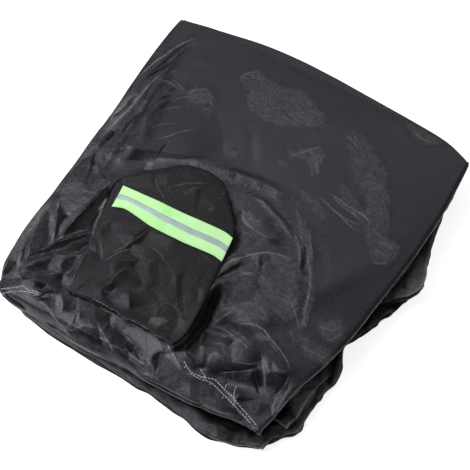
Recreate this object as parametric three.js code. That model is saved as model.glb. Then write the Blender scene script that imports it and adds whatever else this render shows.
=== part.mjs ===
// Motorcycle cover, folded into a loose stack, with its mirror pocket on top.
//
// Millimetres, +Z up. X runs across the stack from its left side to its right
// side, Y from its front fold to its back fold. The plan tables below are
// written about PLAN_ORIGIN; the finished group is moved so that its origin is
// at the middle of the footprint, on the surface that the stack lies on.
//
// The cover is one cloth folded back and forth: a hem that hangs over the
// front, the top sheet, a fold at the back, the next layer, a fold at the
// front, and so on down to the flat bottom layer. One modelled layer stands for
// several thin ones. The mirror pocket is a flat dome-shaped bag of two plies,
// open at its mouth, and a green ribbon with a silver stripe crosses it.

import * as THREE from 'three';

// ---------------------------------------------------------------- main sizes
const CLOTH_THICKNESS = 1.6;   // one modelled layer of the cover
const POCKET_THICKNESS = 1.0;  // one ply of the mirror pocket
const RIBBON_THICKNESS = 1.0;  // green ribbon
const STRIPE_THICKNESS = 1.0;  // silver stripe
const RIBBON_WIDTH = 32.0;
const STRIPE_WIDTH = 7.5;
const PIECE_GAP = 0.5;         // air between pieces that lie on each other
const POCKET_SEAM = 2.0;       // joined width around the pocket's dome
const HEM_OVERHANG = 9.0;      // how far the top sheet rounds over the front
const PLAN_ORIGIN = { x: -3.51, y: 16.82 };

// ------------------------------------------------------------- plan outlines
// Side edges at stations along Y. "top" is the edge of the top sheet, "middle"
// and "lower" are the edges of the layers below, which come out in lobes on
// the right.
const SIDES = [
  { y: -215, left: -174, top: 146, middle: 152, lower: 156 },
  { y: -205, left: -183, top: 150, middle: 156, lower: 160 },
  { y: -190, left: -195, top: 154.5, middle: 162, lower: 165 },
  { y: -168, left: -205, top: 159, middle: 175, lower: 184 },
  { y: -140, left: -209.5, top: 163.5, middle: 179, lower: 184 },
  { y: -112, left: -212, top: 170, middle: 178, lower: 186.5 },
  { y: -87, left: -212.5, top: 175.5, middle: 181, lower: 190.5 },
  { y: -66, left: -213, top: 179.5, middle: 172, lower: 183 },
  { y: -48, left: -213.5, top: 182, middle: 167, lower: 176.5 },
  { y: -30, left: -214, top: 184, middle: 173, lower: 184 },
  { y: -8, left: -214.5, top: 185.5, middle: 182, lower: 195 },
  { y: 14, left: -215, top: 187.5, middle: 187, lower: 199 },
  { y: 36, left: -215.5, top: 189.5, middle: 210.5, lower: 207.5 },
  { y: 58, left: -215.5, top: 191, middle: 217, lower: 208 },
  { y: 80, left: -216, top: 192.5, middle: 210.5, lower: 204 },
  { y: 108, left: -218.5, top: 193.2, middle: 201, lower: 198 },
  { y: 140, left: -220.5, top: 193.5, middle: 196, lower: 193 },
  { y: 180, left: -222, top: 191.5, middle: 191, lower: 187 },
  { y: 223, left: -221, top: 187.5, middle: 183, lower: 180 },
  { y: 250, left: -217, top: 183, middle: 178, lower: 174 },
];

// Front and back edges at stations across the stack (0 left, 1 right). "hem" is
// the height of the free hem that hangs over the front, "lowerFront" the front
// fold of the lowest layers, which sticks out at the right.
const ENDS = [
  { across: 0.00, front: -196, hem: 18.0, lowerFront: -197, back: 235 },
  { across: 0.05, front: -200, hem: 13.0, lowerFront: -205, back: 239 },
  { across: 0.12, front: -202, hem: 10.5, lowerFront: -208, back: 244 },
  { across: 0.25, front: -202, hem: 10.5, lowerFront: -210, back: 253 },
  { across: 0.38, front: -203, hem: 10.5, lowerFront: -211.5, back: 256 },
  { across: 0.50, front: -203, hem: 12.0, lowerFront: -212.5, back: 254.5 },
  { across: 0.58, front: -209, hem: 25.5, lowerFront: -213.5, back: 252 },
  { across: 0.70, front: -210, hem: 29.0, lowerFront: -217.5, back: 248.5 },
  { across: 0.82, front: -208, hem: 31.0, lowerFront: -223, back: 244.5 },
  { across: 0.92, front: -204, hem: 33.0, lowerFront: -217, back: 238.5 },
  { across: 1.00, front: -203, hem: 34.0, lowerFront: -206, back: 226 },
];

// --------------------------------------------------------------- the layers
// From the top sheet down. "level" is the share of the local stack height at
// which the layer lies, "atMouth" the same in the open gap at the front right.
// "middle" and "lower" say how much of those side outlines the layer follows;
// the insets draw its edges in from the outline ("insetGap" is the front inset
// along the open gap), and the skew turns its back fold.
const LAYERS = [
  { level: 1.00, atMouth: 1.00, middle: 0.0, lower: 0.0, insetLeft: 0, insetRight: 0, insetFront: 9, insetGap: 9, insetBack: 5, backSkew: 0 },
  { level: 0.86, atMouth: 0.89, middle: 0.0, lower: 0.0, insetLeft: 5, insetRight: 7, insetFront: 20, insetGap: 44, insetBack: 4, backSkew: 0 },
  { level: 0.72, atMouth: 0.77, middle: 0.3, lower: 0.0, insetLeft: 8, insetRight: 5, insetFront: 21, insetGap: 46, insetBack: 13, backSkew: 5 },
  { level: 0.58, atMouth: 0.47, middle: 0.9, lower: 0.1, insetLeft: 4, insetRight: 2, insetFront: 17, insetGap: 34, insetBack: 12, backSkew: 5 },
  { level: 0.44, atMouth: 0.36, middle: 1.0, lower: 0.0, insetLeft: 9, insetRight: 2, insetFront: 17, insetGap: 32, insetBack: 7, backSkew: -4 },
  { level: 0.28, atMouth: 0.25, middle: 0.1, lower: 0.9, insetLeft: 15, insetRight: 1, insetFront: 3, insetGap: 3, insetBack: 8, backSkew: -4 },
  { level: 0.15, atMouth: 0.13, middle: 0.0, lower: 1.0, insetLeft: 18, insetRight: 2, insetFront: 4, insetGap: 3, insetBack: 15, backSkew: 3 },
  { level: 0.00, atMouth: 0.00, middle: 0.0, lower: 0.93, insetLeft: 21, insetRight: 4, insetFront: 1, insetGap: 1, insetBack: 14, backSkew: 3 },
];
const LOWER_FRONT_FROM = 5;    // layers from here on use the lowerFront edge
const BEND_STEPS = 4;
const TOP_STEPS = 22;          // rows of the top sheet
const STATION_MARGIN = 0.022;  // closest that a row may come to a fold
const HEM_STEPS = 5;

// The open gap under the top layers at the front right.
const FRONT_GAP = { uFrom: 0.34, uFull: 0.62, xFrom: -20, xFull: 25, xEnd: 165, yFull: -190, yFrom: -125 };

// The inner layers lie unevenly: they rise and sink together in waves that grow
// towards the right and front edges, and what sticks out past the top sheet
// droops. Sizes are shares of the stack height; "sway" is the share of the wave
// that each layer takes, from the top sheet down.
const RIPPLE = { size: 0.045, pitch: 92, slant: 0.35, sway: [0, 0.5, 0.9, 1, 1, 0.8, 0.4, 0] };
const DROOP = { size: 0.07, reach: 14 };

// ------------------------------------------------------ height of the top
// Heights of the top sheet at the stack's corners, and the crown between them.
const CORNER_HEIGHT = { frontLeft: 23, frontRight: 37, backLeft: 39, backRight: 41 };
const CROWN = { rise: 10.5, sharpness: 3.2 };

// Main folds of the top sheet: soft ridges (rise > 0) and troughs (rise < 0),
// each an oval hill of half-length "along" and half-width "wide", its length
// turned from the X axis by "turn" degrees.
const RELIEF = [
  { name: 'mound at the front right', x: 100, y: -128, along: 62, wide: 26, turn: -8, rise: 11 },
  { name: 'nose of the mound', x: 152, y: -152, along: 30, wide: 15, turn: -68, rise: 5 },
  { name: 'valley below the mound', x: 92, y: -168, along: 48, wide: 11, turn: 14, rise: -7 },
  { name: 'trough beside the pocket', x: 42, y: -96, along: 60, wide: 12, turn: -84, rise: -6 },
  { name: 'ridge beyond the trough', x: 72, y: -62, along: 60, wide: 20, turn: -60, rise: 4 },
  { name: 'soft column', x: 118, y: -30, along: 75, wide: 15, turn: 62, rise: 2.5 },
  { name: 'hollow behind the pocket', x: -30, y: 78, along: 70, wide: 26, turn: -20, rise: -2.5 },
  { name: 'swell at the back', x: 40, y: 178, along: 90, wide: 34, turn: -6, rise: 3 },
  { name: 'left crinkle, outer', x: -203, y: 92, along: 80, wide: 9, turn: 94, rise: 3.5 },
  { name: 'left valley', x: -186, y: 60, along: 95, wide: 8, turn: 95, rise: -3.5 },
  { name: 'left crinkle, inner', x: -168, y: 78, along: 100, wide: 10, turn: 97, rise: 3.5 },
  { name: 'hollow left of the pocket', x: -165, y: -92, along: 55, wide: 14, turn: 82, rise: -3.4 },
  { name: 'front slope bulge', x: -60, y: -190, along: 45, wide: 12, turn: 4, rise: 4 },
  { name: 'front slope dent', x: 5, y: -186, along: 24, wide: 12, turn: 30, rise: -5 },
  { name: 'front left bulge', x: -145, y: -178, along: 30, wide: 12, turn: -12, rise: 4 },
];

// ------------------------------------------------------------ mirror pocket
// Sections of the flat bag from its open mouth to the end of its dome. "air" is
// the gap between its two plies in the middle of the section, "lift" how far it
// rises off the cover there.
const POCKET = [
  { y: -163, left: -119.5, right: 20.0, air: 3.2, lift: 2.4 },
  { y: -150, left: -121.5, right: 25.5, air: 3.4, lift: 1.5 },
  { y: -132, left: -125.0, right: 26.0, air: 3.6, lift: 0.8 },
  { y: -110, left: -129.0, right: 23.5, air: 3.6, lift: 0.3 },
  { y: -86, left: -135.5, right: 19.5, air: 3.6, lift: 0.0 },
  { y: -62, left: -143.0, right: 15.5, air: 3.6, lift: 0.0 },
  { y: -37, left: -149.0, right: 11.5, air: 3.6, lift: 0.0 },
  { y: -15, left: -151.5, right: 7.0, air: 3.4, lift: 0.0 },
  { y: 0.5, left: -143.0, right: -1.0, air: 3.2, lift: 0.0 },
  { y: 17.5, left: -125.0, right: -16.0, air: 2.8, lift: 0.0 },
  { y: 30.5, left: -110.5, right: -27.5, air: 2.4, lift: 0.0 },
  { y: 39.5, left: -100.0, right: -36.0, air: 1.8, lift: 0.0 },
  { y: 46, left: -88.0, right: -46.0, air: 1.2, lift: 0.0 },
];
const POCKET_COLUMNS = 11;
const POCKET_EDGE_AIR = 0.5;   // gap between the plies right beside the seam

// ------------------------------------------------------------------ ribbon
// Centre line of the ribbon across the pocket; its ends are cut a little askew.
const RIBBON = {
  left: { x: -139.0, y: -33.7 }, right: { x: 9.5, y: -32.3 },
  leftSkew: -2.4, rightSkew: -2.8, steps: 14,
};

// ---------------------------------------------------------------- functions
const clamp01 = (t) => Math.min(1, Math.max(0, t));
const mix = (a, b, t) => a + (b - a) * t;
const smooth = (a, b, t) => {
  const s = clamp01((t - a) / (b - a));
  return s * s * (3 - 2 * s);
};

// Value of a column of a table at a station, with a smooth curve through rows.
function tableValue(table, key, column, at) {
  const last = table.length - 1;
  if (at <= table[0][key]) return table[0][column];
  if (at >= table[last][key]) return table[last][column];
  let i = 0;
  while (table[i + 1][key] < at) i += 1;
  const slope = (k) => {
    const a = Math.max(0, k - 1);
    const b = Math.min(last, k + 1);
    return (table[b][column] - table[a][column]) / (table[b][key] - table[a][key]);
  };
  const span = table[i + 1][key] - table[i][key];
  const t = (at - table[i][key]) / span;
  const t2 = t * t;
  const t3 = t2 * t;
  return (2 * t3 - 3 * t2 + 1) * table[i][column] + (t3 - 2 * t2 + t) * span * slope(i)
    + (3 * t2 - 2 * t3) * table[i + 1][column] + (t3 - t2) * span * slope(i + 1);
}

// Height of the top sheet's middle surface above the ground at a plan point.
function stackHeight(x, y) {
  const left = tableValue(SIDES, 'y', 'left', y);
  const right = tableValue(SIDES, 'y', 'top', y);
  const u = clamp01((x - left) / (right - left));
  const v = clamp01((y + 208) / (240 + 208));
  const front = mix(CORNER_HEIGHT.frontLeft, CORNER_HEIGHT.frontRight, u);
  const back = mix(CORNER_HEIGHT.backLeft, CORNER_HEIGHT.backRight, u);
  const crown = (1 - Math.abs(2 * u - 1) ** CROWN.sharpness)
    * (1 - Math.abs(2 * v - 1) ** (CROWN.sharpness + 1.5));
  let z = mix(front, back, v) + CROWN.rise * crown;
  for (const fold of RELIEF) {
    const a = THREE.MathUtils.degToRad(fold.turn);
    const dx = x - fold.x;
    const dy = y - fold.y;
    const s = (dx * Math.cos(a) + dy * Math.sin(a)) / fold.along;
    const w = (-dx * Math.sin(a) + dy * Math.cos(a)) / fold.wide;
    z += fold.rise * Math.exp(-(s * s + w * w));
  }
  return z;
}

// Middle surface of one layer at (u across, v from front to back).
function layerPoint(k, u, v) {
  const layer = LAYERS[k];
  const frontColumn = k >= LOWER_FRONT_FROM ? 'lowerFront' : 'front';
  const front = tableValue(ENDS, 'across', frontColumn, u)
    + mix(layer.insetFront, layer.insetGap, smooth(FRONT_GAP.uFrom, FRONT_GAP.uFull, u));
  const back = tableValue(ENDS, 'across', 'back', u) - layer.insetBack
    + layer.backSkew * (u - 0.5);
  const y = mix(front, back, v);
  const left = tableValue(SIDES, 'y', 'left', y) + layer.insetLeft;
  const share = 1 - layer.middle - layer.lower;
  const right = share * tableValue(SIDES, 'y', 'top', y)
    + layer.middle * tableValue(SIDES, 'y', 'middle', y)
    + layer.lower * tableValue(SIDES, 'y', 'lower', y)
    - layer.insetRight;
  const x = mix(left, right, u);
  const gap = smooth(FRONT_GAP.xFrom, FRONT_GAP.xFull, x)
    * (1 - smooth(FRONT_GAP.xEnd - 20, FRONT_GAP.xEnd, x))
    * (1 - smooth(FRONT_GAP.yFull, FRONT_GAP.yFrom, y));
  const wave = RIPPLE.size * RIPPLE.sway[k] * (0.35 + 0.65 * smooth(0.3, 1, Math.max(u, 1 - v)))
    * Math.sin((2 * Math.PI * (y + RIPPLE.slant * x)) / RIPPLE.pitch);
  const droop = DROOP.size * Math.sin(Math.PI * Math.min(1, layer.level * 1.6))
    * smooth(0, DROOP.reach, x - tableValue(SIDES, 'y', 'top', y));
  const level = mix(layer.level, layer.atMouth, gap) + wave - droop;
  const ground = CLOTH_THICKNESS / 2;
  return new THREE.Vector3(x, y, ground + (stackHeight(x, y) - ground) * level);
}

// Stations of a layer from front (0) to back (1): where the side table has rows.
function layerStations(k) {
  const front = layerPoint(k, 1, 0).y;
  const back = layerPoint(k, 1, 1).y;
  const inside = SIDES.map((row) => (row.y - front) / (back - front))
    .filter((v) => v > STATION_MARGIN && v < 1 - STATION_MARGIN);
  return [0, ...inside, 1];
}

// Rows of the whole cloth in order along it. Each row is a list of points from
// the left edge to the right edge; the top sheet has twice the points.
const ACROSS = [0, 0.07, 0.19, 0.34, 0.49, 0.64, 0.77, 0.87, 0.945, 1];
const ACROSS_FINE = ACROSS.flatMap((u, i) => (i === 0 ? [u] : [(u + ACROSS[i - 1]) / 2, u]));

function bendRow(a, b, outward, t) {
  return a.map((start, j) => {
    const end = b[j];
    const reach = outward * (0.62 * Math.abs(start.z - end.z) + 0.35 * Math.abs(start.y - end.y));
    const p = new THREE.CubicBezierCurve3(
      start,
      new THREE.Vector3(start.x, start.y + reach, start.z),
      new THREE.Vector3(end.x, end.y + reach, end.z),
      end,
    );
    return p.getPoint(t);
  });
}

function clothRows() {
  const rows = [];
  const topFront = ACROSS_FINE.map((u) => layerPoint(0, u, 0));
  for (let i = 0; i < HEM_STEPS; i += 1) {
    const turn = (Math.PI / 2) * (1 - i / HEM_STEPS);
    rows.push(topFront.map((p, j) => {
      const hem = tableValue(ENDS, 'across', 'hem', ACROSS_FINE[j]);
      return new THREE.Vector3(
        p.x,
        p.y - HEM_OVERHANG * Math.sin(turn),
        p.z - (p.z - hem) * (1 - Math.cos(turn)),
      );
    }));
  }
  for (let k = 0; k < LAYERS.length; k += 1) {
    const across = k === 0 ? ACROSS_FINE : ACROSS;
    const toBack = k % 2 === 0;
    const stations = k === 0
      ? Array.from({ length: TOP_STEPS + 1 }, (_, i) => i / TOP_STEPS)
      : layerStations(k);
    if (!toBack) stations.reverse();
    for (const v of stations) rows.push(across.map((u) => layerPoint(k, u, v)));
    if (k + 1 < LAYERS.length) {
      const from = ACROSS.map((u) => layerPoint(k, u, toBack ? 1 : 0));
      const to = ACROSS.map((u) => layerPoint(k + 1, u, toBack ? 1 : 0));
      for (let i = 1; i < BEND_STEPS; i += 1) {
        rows.push(bendRow(from, to, toBack ? 1 : -1, i / BEND_STEPS));
      }
    }
  }
  return rows;
}

// Triangles between two neighbouring rows, whose points are equal in number or
// two to one.
function stripTriangles(rowA, rowB, startA, startB) {
  const out = [];
  if (rowA.length === rowB.length) {
    for (let j = 0; j + 1 < rowA.length; j += 1) {
      out.push([startA + j, startA + j + 1, startB + j + 1], [startA + j, startB + j + 1, startB + j]);
    }
    return out;
  }
  for (let j = 0; j + 1 < rowB.length; j += 1) {
    const a = startA + 2 * j;
    const b = startB + j;
    out.push([a, a + 1, b], [a + 1, b + 1, b], [a + 1, a + 2, b + 1]);
  }
  return out;
}

// A closed sheet of even thickness about rows of points.
function sheetGeometry(rows, thickness) {
  const points = rows.flat();
  const starts = [];
  let count = 0;
  for (const row of rows) {
    starts.push(count);
    count += row.length;
  }
  const faces = [];
  for (let i = 0; i + 1 < rows.length; i += 1) {
    faces.push(...stripTriangles(rows[i], rows[i + 1], starts[i], starts[i + 1]));
  }
  const normals = points.map(() => new THREE.Vector3());
  for (const [a, b, c] of faces) {
    const n = new THREE.Vector3().subVectors(points[b], points[a])
      .cross(new THREE.Vector3().subVectors(points[c], points[a]));
    normals[a].add(n);
    normals[b].add(n);
    normals[c].add(n);
  }
  normals.forEach((n) => n.normalize());
  const upper = points.map((p, i) => p.clone().addScaledVector(normals[i], thickness / 2));
  const lower = points.map((p, i) => p.clone().addScaledVector(normals[i], -thickness / 2));
  const triangles = [
    ...faces,
    ...faces.map(([a, b, c]) => [a + count, c + count, b + count]),
  ];
  const wall = (i, j) => triangles.push([j, i, i + count], [j, i + count, j + count]);
  const first = rows[0];
  const lastStart = starts[rows.length - 1];
  const last = rows[rows.length - 1];
  for (let j = 0; j + 1 < first.length; j += 1) wall(j, j + 1);
  for (let j = 0; j + 1 < last.length; j += 1) wall(lastStart + j + 1, lastStart + j);
  for (let i = 0; i + 1 < rows.length; i += 1) {
    wall(starts[i + 1], starts[i]);
    wall(starts[i] + rows[i].length - 1, starts[i + 1] + rows[i + 1].length - 1);
  }
  return solidGeometry([...upper, ...lower], triangles);
}

function solidGeometry(points, triangles) {
  const geometry = new THREE.BufferGeometry();
  geometry.setAttribute('position', new THREE.Float32BufferAttribute(
    points.flatMap((p) => [p.x, p.y, p.z]), 3));
  geometry.setIndex(triangles.flat());
  return geometry;
}

// Heights of the pocket's plies. "part" is 0 at the left seam and 1 at the right.
function pocketAir(y, part) {
  const middle = tableValue(POCKET, 'y', 'air', y);
  const bow = 1 - Math.abs(2 * part - 1) ** 2.6;
  return mix(POCKET_EDGE_AIR, middle, bow);
}

function pocketUnderside(x, y) {
  return stackHeight(x, y) + CLOTH_THICKNESS / 2 + PIECE_GAP + tableValue(POCKET, 'y', 'lift', y);
}

function pocketTop(x, y) {
  const left = tableValue(POCKET, 'y', 'left', y);
  const right = tableValue(POCKET, 'y', 'right', y);
  const part = clamp01((x - left) / (right - left));
  return pocketUnderside(x, y) + 2 * POCKET_THICKNESS + pocketAir(y, part);
}

// The bag: an outer skin and an inner skin over the same grid, closed around the
// dome and joined to each other at the open mouth.
function pocketGeometry() {
  const rows = POCKET.length;
  const columns = POCKET_COLUMNS;
  const points = [];
  const index = {};
  const skins = ['outerTop', 'outerUnder', 'innerTop', 'innerUnder'];
  for (const skin of skins) {
    index[skin] = [];
    for (let i = 0; i < rows; i += 1) {
      const inner = skin.startsWith('inner');
      const row = POCKET[i];
      const dome = inner ? Math.min(row.y, POCKET[rows - 1].y - POCKET_SEAM) : row.y;
      const y = inner && i === rows - 1 ? dome : row.y;
      const inset = inner ? POCKET_SEAM : 0;
      index[skin].push([]);
      for (let j = 0; j < columns; j += 1) {
        const part = j / (columns - 1);
        const x = mix(row.left + inset, row.right - inset, part);
        const under = pocketUnderside(x, y);
        const air = mix(POCKET_EDGE_AIR, row.air, 1 - Math.abs(2 * part - 1) ** 2.6);
        const z = {
          outerTop: under + 2 * POCKET_THICKNESS + air,
          outerUnder: under,
          innerTop: under + POCKET_THICKNESS + air,
          innerUnder: under + POCKET_THICKNESS,
        }[skin];
        index[skin][i].push(points.length);
        points.push(new THREE.Vector3(x, y, z));
      }
    }
  }
  const triangles = [];
  const quad = (a, b, c, d) => triangles.push([a, b, c], [a, c, d]);
  const { outerTop, outerUnder, innerTop, innerUnder } = index;
  const far = columns - 1;
  for (let i = 0; i + 1 < rows; i += 1) {
    for (let j = 0; j < far; j += 1) {
      quad(outerTop[i][j], outerTop[i][j + 1], outerTop[i + 1][j + 1], outerTop[i + 1][j]);
      quad(outerUnder[i][j + 1], outerUnder[i][j], outerUnder[i + 1][j], outerUnder[i + 1][j + 1]);
      quad(innerTop[i][j + 1], innerTop[i][j], innerTop[i + 1][j], innerTop[i + 1][j + 1]);
      quad(innerUnder[i][j], innerUnder[i][j + 1], innerUnder[i + 1][j + 1], innerUnder[i + 1][j]);
    }
    quad(outerUnder[i][0], outerTop[i][0], outerTop[i + 1][0], outerUnder[i + 1][0]);
    quad(outerTop[i][far], outerUnder[i][far], outerUnder[i + 1][far], outerTop[i + 1][far]);
    quad(innerTop[i][0], innerUnder[i][0], innerUnder[i + 1][0], innerTop[i + 1][0]);
    quad(innerUnder[i][far], innerTop[i][far], innerTop[i + 1][far], innerUnder[i + 1][far]);
  }
  const end = rows - 1;
  for (let j = 0; j < far; j += 1) {
    quad(outerTop[end][j], outerTop[end][j + 1], outerUnder[end][j + 1], outerUnder[end][j]);
    quad(innerUnder[end][j], innerUnder[end][j + 1], innerTop[end][j + 1], innerTop[end][j]);
    quad(outerTop[0][j + 1], outerTop[0][j], innerTop[0][j], innerTop[0][j + 1]);
    quad(outerUnder[0][j], outerUnder[0][j + 1], innerUnder[0][j + 1], innerUnder[0][j]);
  }
  quad(outerTop[0][0], outerUnder[0][0], innerUnder[0][0], innerTop[0][0]);
  quad(outerUnder[0][far], outerTop[0][far], innerTop[0][far], innerUnder[0][far]);
  return solidGeometry(points, triangles);
}

// A strip that lies on the pocket along the ribbon's centre line.
function stripGeometry(width, thickness, clearance) {
  const across = [-0.5, -0.17, 0.17, 0.5];
  const rows = across.map((w) => {
    const row = [];
    for (let i = 0; i <= RIBBON.steps; i += 1) {
      const s = i / RIBBON.steps;
      const skew = mix(RIBBON.leftSkew, RIBBON.rightSkew, s) * (width / RIBBON_WIDTH);
      const x = mix(RIBBON.left.x, RIBBON.right.x, s) + 2 * w * skew;
      const y = mix(RIBBON.left.y, RIBBON.right.y, s) + w * width;
      row.push(new THREE.Vector3(x, y, pocketTop(x, y) + clearance + thickness / 2));
    }
    return row;
  });
  return sheetGeometry(rows, thickness);
}

// --------------------------------------------------------------- assembly
function piece(name, geometry, color, roughness, metalness) {
  const material = new THREE.MeshStandardMaterial({ color, roughness, metalness });
  const mesh = new THREE.Mesh(geometry, material);
  mesh.name = name;
  mesh.position.set(-PLAN_ORIGIN.x, -PLAN_ORIGIN.y, 0);
  return mesh;
}

const cover = new THREE.Group();
cover.add(piece('cover_cloth', sheetGeometry(clothRows(), CLOTH_THICKNESS), 0x2c2c31, 0.45, 0));
cover.add(piece('mirror_pocket', pocketGeometry(), 0x1c1c20, 0.6, 0));
cover.add(piece('reflective_band', stripGeometry(RIBBON_WIDTH, RIBBON_THICKNESS, PIECE_GAP), 0x86f23a, 0.7, 0));
cover.add(piece('silver_stripe', stripGeometry(STRIPE_WIDTH, STRIPE_THICKNESS,
  PIECE_GAP + RIBBON_THICKNESS + 0.35), 0x9aa8a2, 0.35, 0.4));

export default cover;
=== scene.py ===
# Looks of the folded motorcycle cover: its crumpled black cloth, the mirror
# pocket on top, the green ribbon and silver stripe across it, and the twin rows
# of stitching at the front hem.
#
# The plan tables are those of the solid model, in millimetres about ORIGIN.
# Everything is built in numpy on fine grids and moved to metres at the end.

import math

import bpy
import numpy as np
from mathutils import Matrix, Vector


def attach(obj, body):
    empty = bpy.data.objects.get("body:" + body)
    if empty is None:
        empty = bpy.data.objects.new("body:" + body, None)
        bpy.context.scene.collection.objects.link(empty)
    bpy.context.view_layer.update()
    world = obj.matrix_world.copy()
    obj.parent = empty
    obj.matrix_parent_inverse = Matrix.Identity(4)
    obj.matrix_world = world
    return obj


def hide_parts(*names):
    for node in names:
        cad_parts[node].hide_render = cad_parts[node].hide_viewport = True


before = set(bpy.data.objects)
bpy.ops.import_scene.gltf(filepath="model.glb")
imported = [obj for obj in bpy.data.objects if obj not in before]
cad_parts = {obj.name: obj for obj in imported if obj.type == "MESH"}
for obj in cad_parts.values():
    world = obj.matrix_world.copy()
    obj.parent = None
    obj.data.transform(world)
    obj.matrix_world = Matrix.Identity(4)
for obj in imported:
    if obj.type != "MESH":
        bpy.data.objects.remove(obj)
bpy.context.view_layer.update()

ORIGIN = np.array([-3.51, 16.82, 0.0])

# ------------------------------------------------------------- plan outlines
CLOTH = 1.6
PIECE_GAP = 0.5
PLY = 1.0
HEM_OVERHANG = 9.0

SIDES_Y = [-215, -205, -190, -168, -140, -112, -87, -66, -48, -30, -8, 14, 36, 58, 80, 108, 140, 180, 223, 250]
SIDE_LEFT = [-174, -183, -195, -205, -209.5, -212, -212.5, -213, -213.5, -214, -214.5, -215, -215.5, -215.5, -216, -218.5, -220.5, -222, -221, -217]
SIDE_TOP = [146, 150, 154.5, 159, 163.5, 170, 175.5, 179.5, 182, 184, 185.5, 187.5, 189.5, 191, 192.5, 193.2, 193.5, 191.5, 187.5, 183]
SIDE_MIDDLE = [152, 156, 162, 175, 179, 178, 181, 172, 167, 173, 182, 187, 210.5, 217, 210.5, 201, 196, 191, 183, 178]
SIDE_LOWER = [156, 160, 165, 184, 184, 186.5, 190.5, 183, 176.5, 184, 195, 199, 207.5, 208, 204, 198, 193, 187, 180, 174]

ENDS_U = [0.00, 0.05, 0.12, 0.25, 0.38, 0.50, 0.58, 0.70, 0.82, 0.92, 1.00]
END_FRONT = [-196, -200, -202, -202, -203, -203, -209, -210, -208, -204, -203]
END_HEM = [18, 13, 10.5, 10.5, 10.5, 12, 25.5, 29, 31, 33, 34]
END_LOWER = [-197, -205, -208, -210, -211.5, -212.5, -213.5, -217.5, -223, -217, -206]
END_BACK = [235, 239, 244, 253, 256, 254.5, 252, 248.5, 244.5, 238.5, 226]

# level, level in the open gap, share of the middle outline, share of the lower
# outline, insets left, right, front, front along the gap, back, skew at the back
LAYERS = [
    (1.00, 1.00, 0.0, 0.00, 0, 0, 9, 9, 5, 0),
    (0.86, 0.89, 0.0, 0.00, 5, 7, 20, 44, 4, 0),
    (0.72, 0.77, 0.3, 0.00, 8, 5, 21, 46, 13, 5),
    (0.58, 0.47, 0.9, 0.10, 4, 2, 17, 34, 12, 5),
    (0.44, 0.36, 1.0, 0.00, 9, 2, 17, 32, 7, -4),
    (0.28, 0.25, 0.1, 0.90, 15, 1, 3, 3, 8, -4),
    (0.15, 0.13, 0.0, 1.00, 18, 2, 4, 3, 15, 3),
    (0.00, 0.00, 0.0, 0.93, 21, 4, 1, 1, 14, 3),
]
SWAY = [0, 0.5, 0.9, 1, 1, 0.8, 0.4, 0]

# soft hills and hollows of the top: x, y, half length, half width, turn, rise
HILLS = [
    (100, -128, 62, 26, -8, 11), (152, -152, 30, 15, -68, 5), (92, -168, 48, 11, 14, -7),
    (42, -96, 60, 12, -84, -6), (72, -62, 60, 20, -60, 4), (118, -30, 75, 15, 62, 2.5),
    (-30, 78, 70, 26, -20, -2.5), (40, 178, 90, 34, -6, 3), (-203, 92, 80, 9, 94, 3.5),
    (-186, 60, 95, 8, 95, -3.5), (-168, 78, 100, 10, 97, 3.5), (-165, -92, 55, 14, 82, -3.4),
    (-60, -190, 45, 12, 4, 4), (5, -186, 24, 12, 30, -5), (-145, -178, 30, 12, -12, 4),
]

# mirror pocket: y, left, right, air between the plies, lift off the cover
POCKET = [
    (-163, -119.5, 20.0, 3.2, 2.4), (-150, -121.5, 25.5, 3.4, 1.5), (-132, -125.0, 26.0, 3.6, 0.8),
    (-110, -129.0, 23.5, 3.6, 0.3), (-86, -135.5, 19.5, 3.6, 0.0), (-62, -143.0, 15.5, 3.6, 0.0),
    (-37, -149.0, 11.5, 3.6, 0.0), (-15, -151.5, 7.0, 3.4, 0.0), (0.5, -143.0, -1.0, 3.2, 0.0),
    (17.5, -125.0, -16.0, 2.8, 0.0), (30.5, -110.5, -27.5, 2.4, 0.0), (39.5, -100.0, -36.0, 1.8, 0.0),
    (46, -88.0, -46.0, 1.2, 0.0),
]
POCKET_Y = [row[0] for row in POCKET]
POCKET_LEFT = [row[1] for row in POCKET]
POCKET_RIGHT = [row[2] for row in POCKET]
POCKET_AIR = [row[3] for row in POCKET]
POCKET_LIFT = [row[4] for row in POCKET]

RIBBON_LEFT, RIBBON_RIGHT = (-139.0, -33.7), (9.5, -32.3)
RIBBON_SKEW = (-2.4, -2.8)
RIBBON_WIDTH = 32.0
RIBBON_S = [0, 0.1, 0.22, 0.35, 0.48, 0.65, 0.8, 0.92, 1]
RIBBON_UPPER = [-18.1, -18.2, -18.3, -17.6, -17.2, -16.4, -15.0, -14.1, -16.0]
RIBBON_LOWER = [-49.3, -45.3, -47.5, -50.9, -51.5, -50.9, -48.6, -47.2, -48.7]
STRIPE_WIDTH = 7.5


# ------------------------------------------------------------------- helpers
def mix(a, b, t):
    return a + (b - a) * t


def smooth(a, b, t):
    s = np.clip((t - a) / (b - a), 0.0, 1.0)
    return s * s * (3 - 2 * s)


def table(keys, values, at):
    """Smooth curve through a table's rows, held level outside them."""
    keys = np.asarray(keys, float)
    values = np.asarray(values, float)
    last = len(keys) - 1
    slopes = np.array([
        (values[min(last, k + 1)] - values[max(0, k - 1)]) / (keys[min(last, k + 1)] - keys[max(0, k - 1)])
        for k in range(last + 1)
    ])
    at = np.clip(np.asarray(at, float), keys[0], keys[-1])
    i = np.clip(np.searchsorted(keys, at, side="left") - 1, 0, last - 1)
    span = keys[i + 1] - keys[i]
    t = (at - keys[i]) / span
    t2, t3 = t * t, t * t * t
    return ((2 * t3 - 3 * t2 + 1) * values[i] + (t3 - 2 * t2 + t) * span * slopes[i]
            + (3 * t2 - 2 * t3) * values[i + 1] + (t3 - t2) * span * slopes[i + 1])


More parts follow.
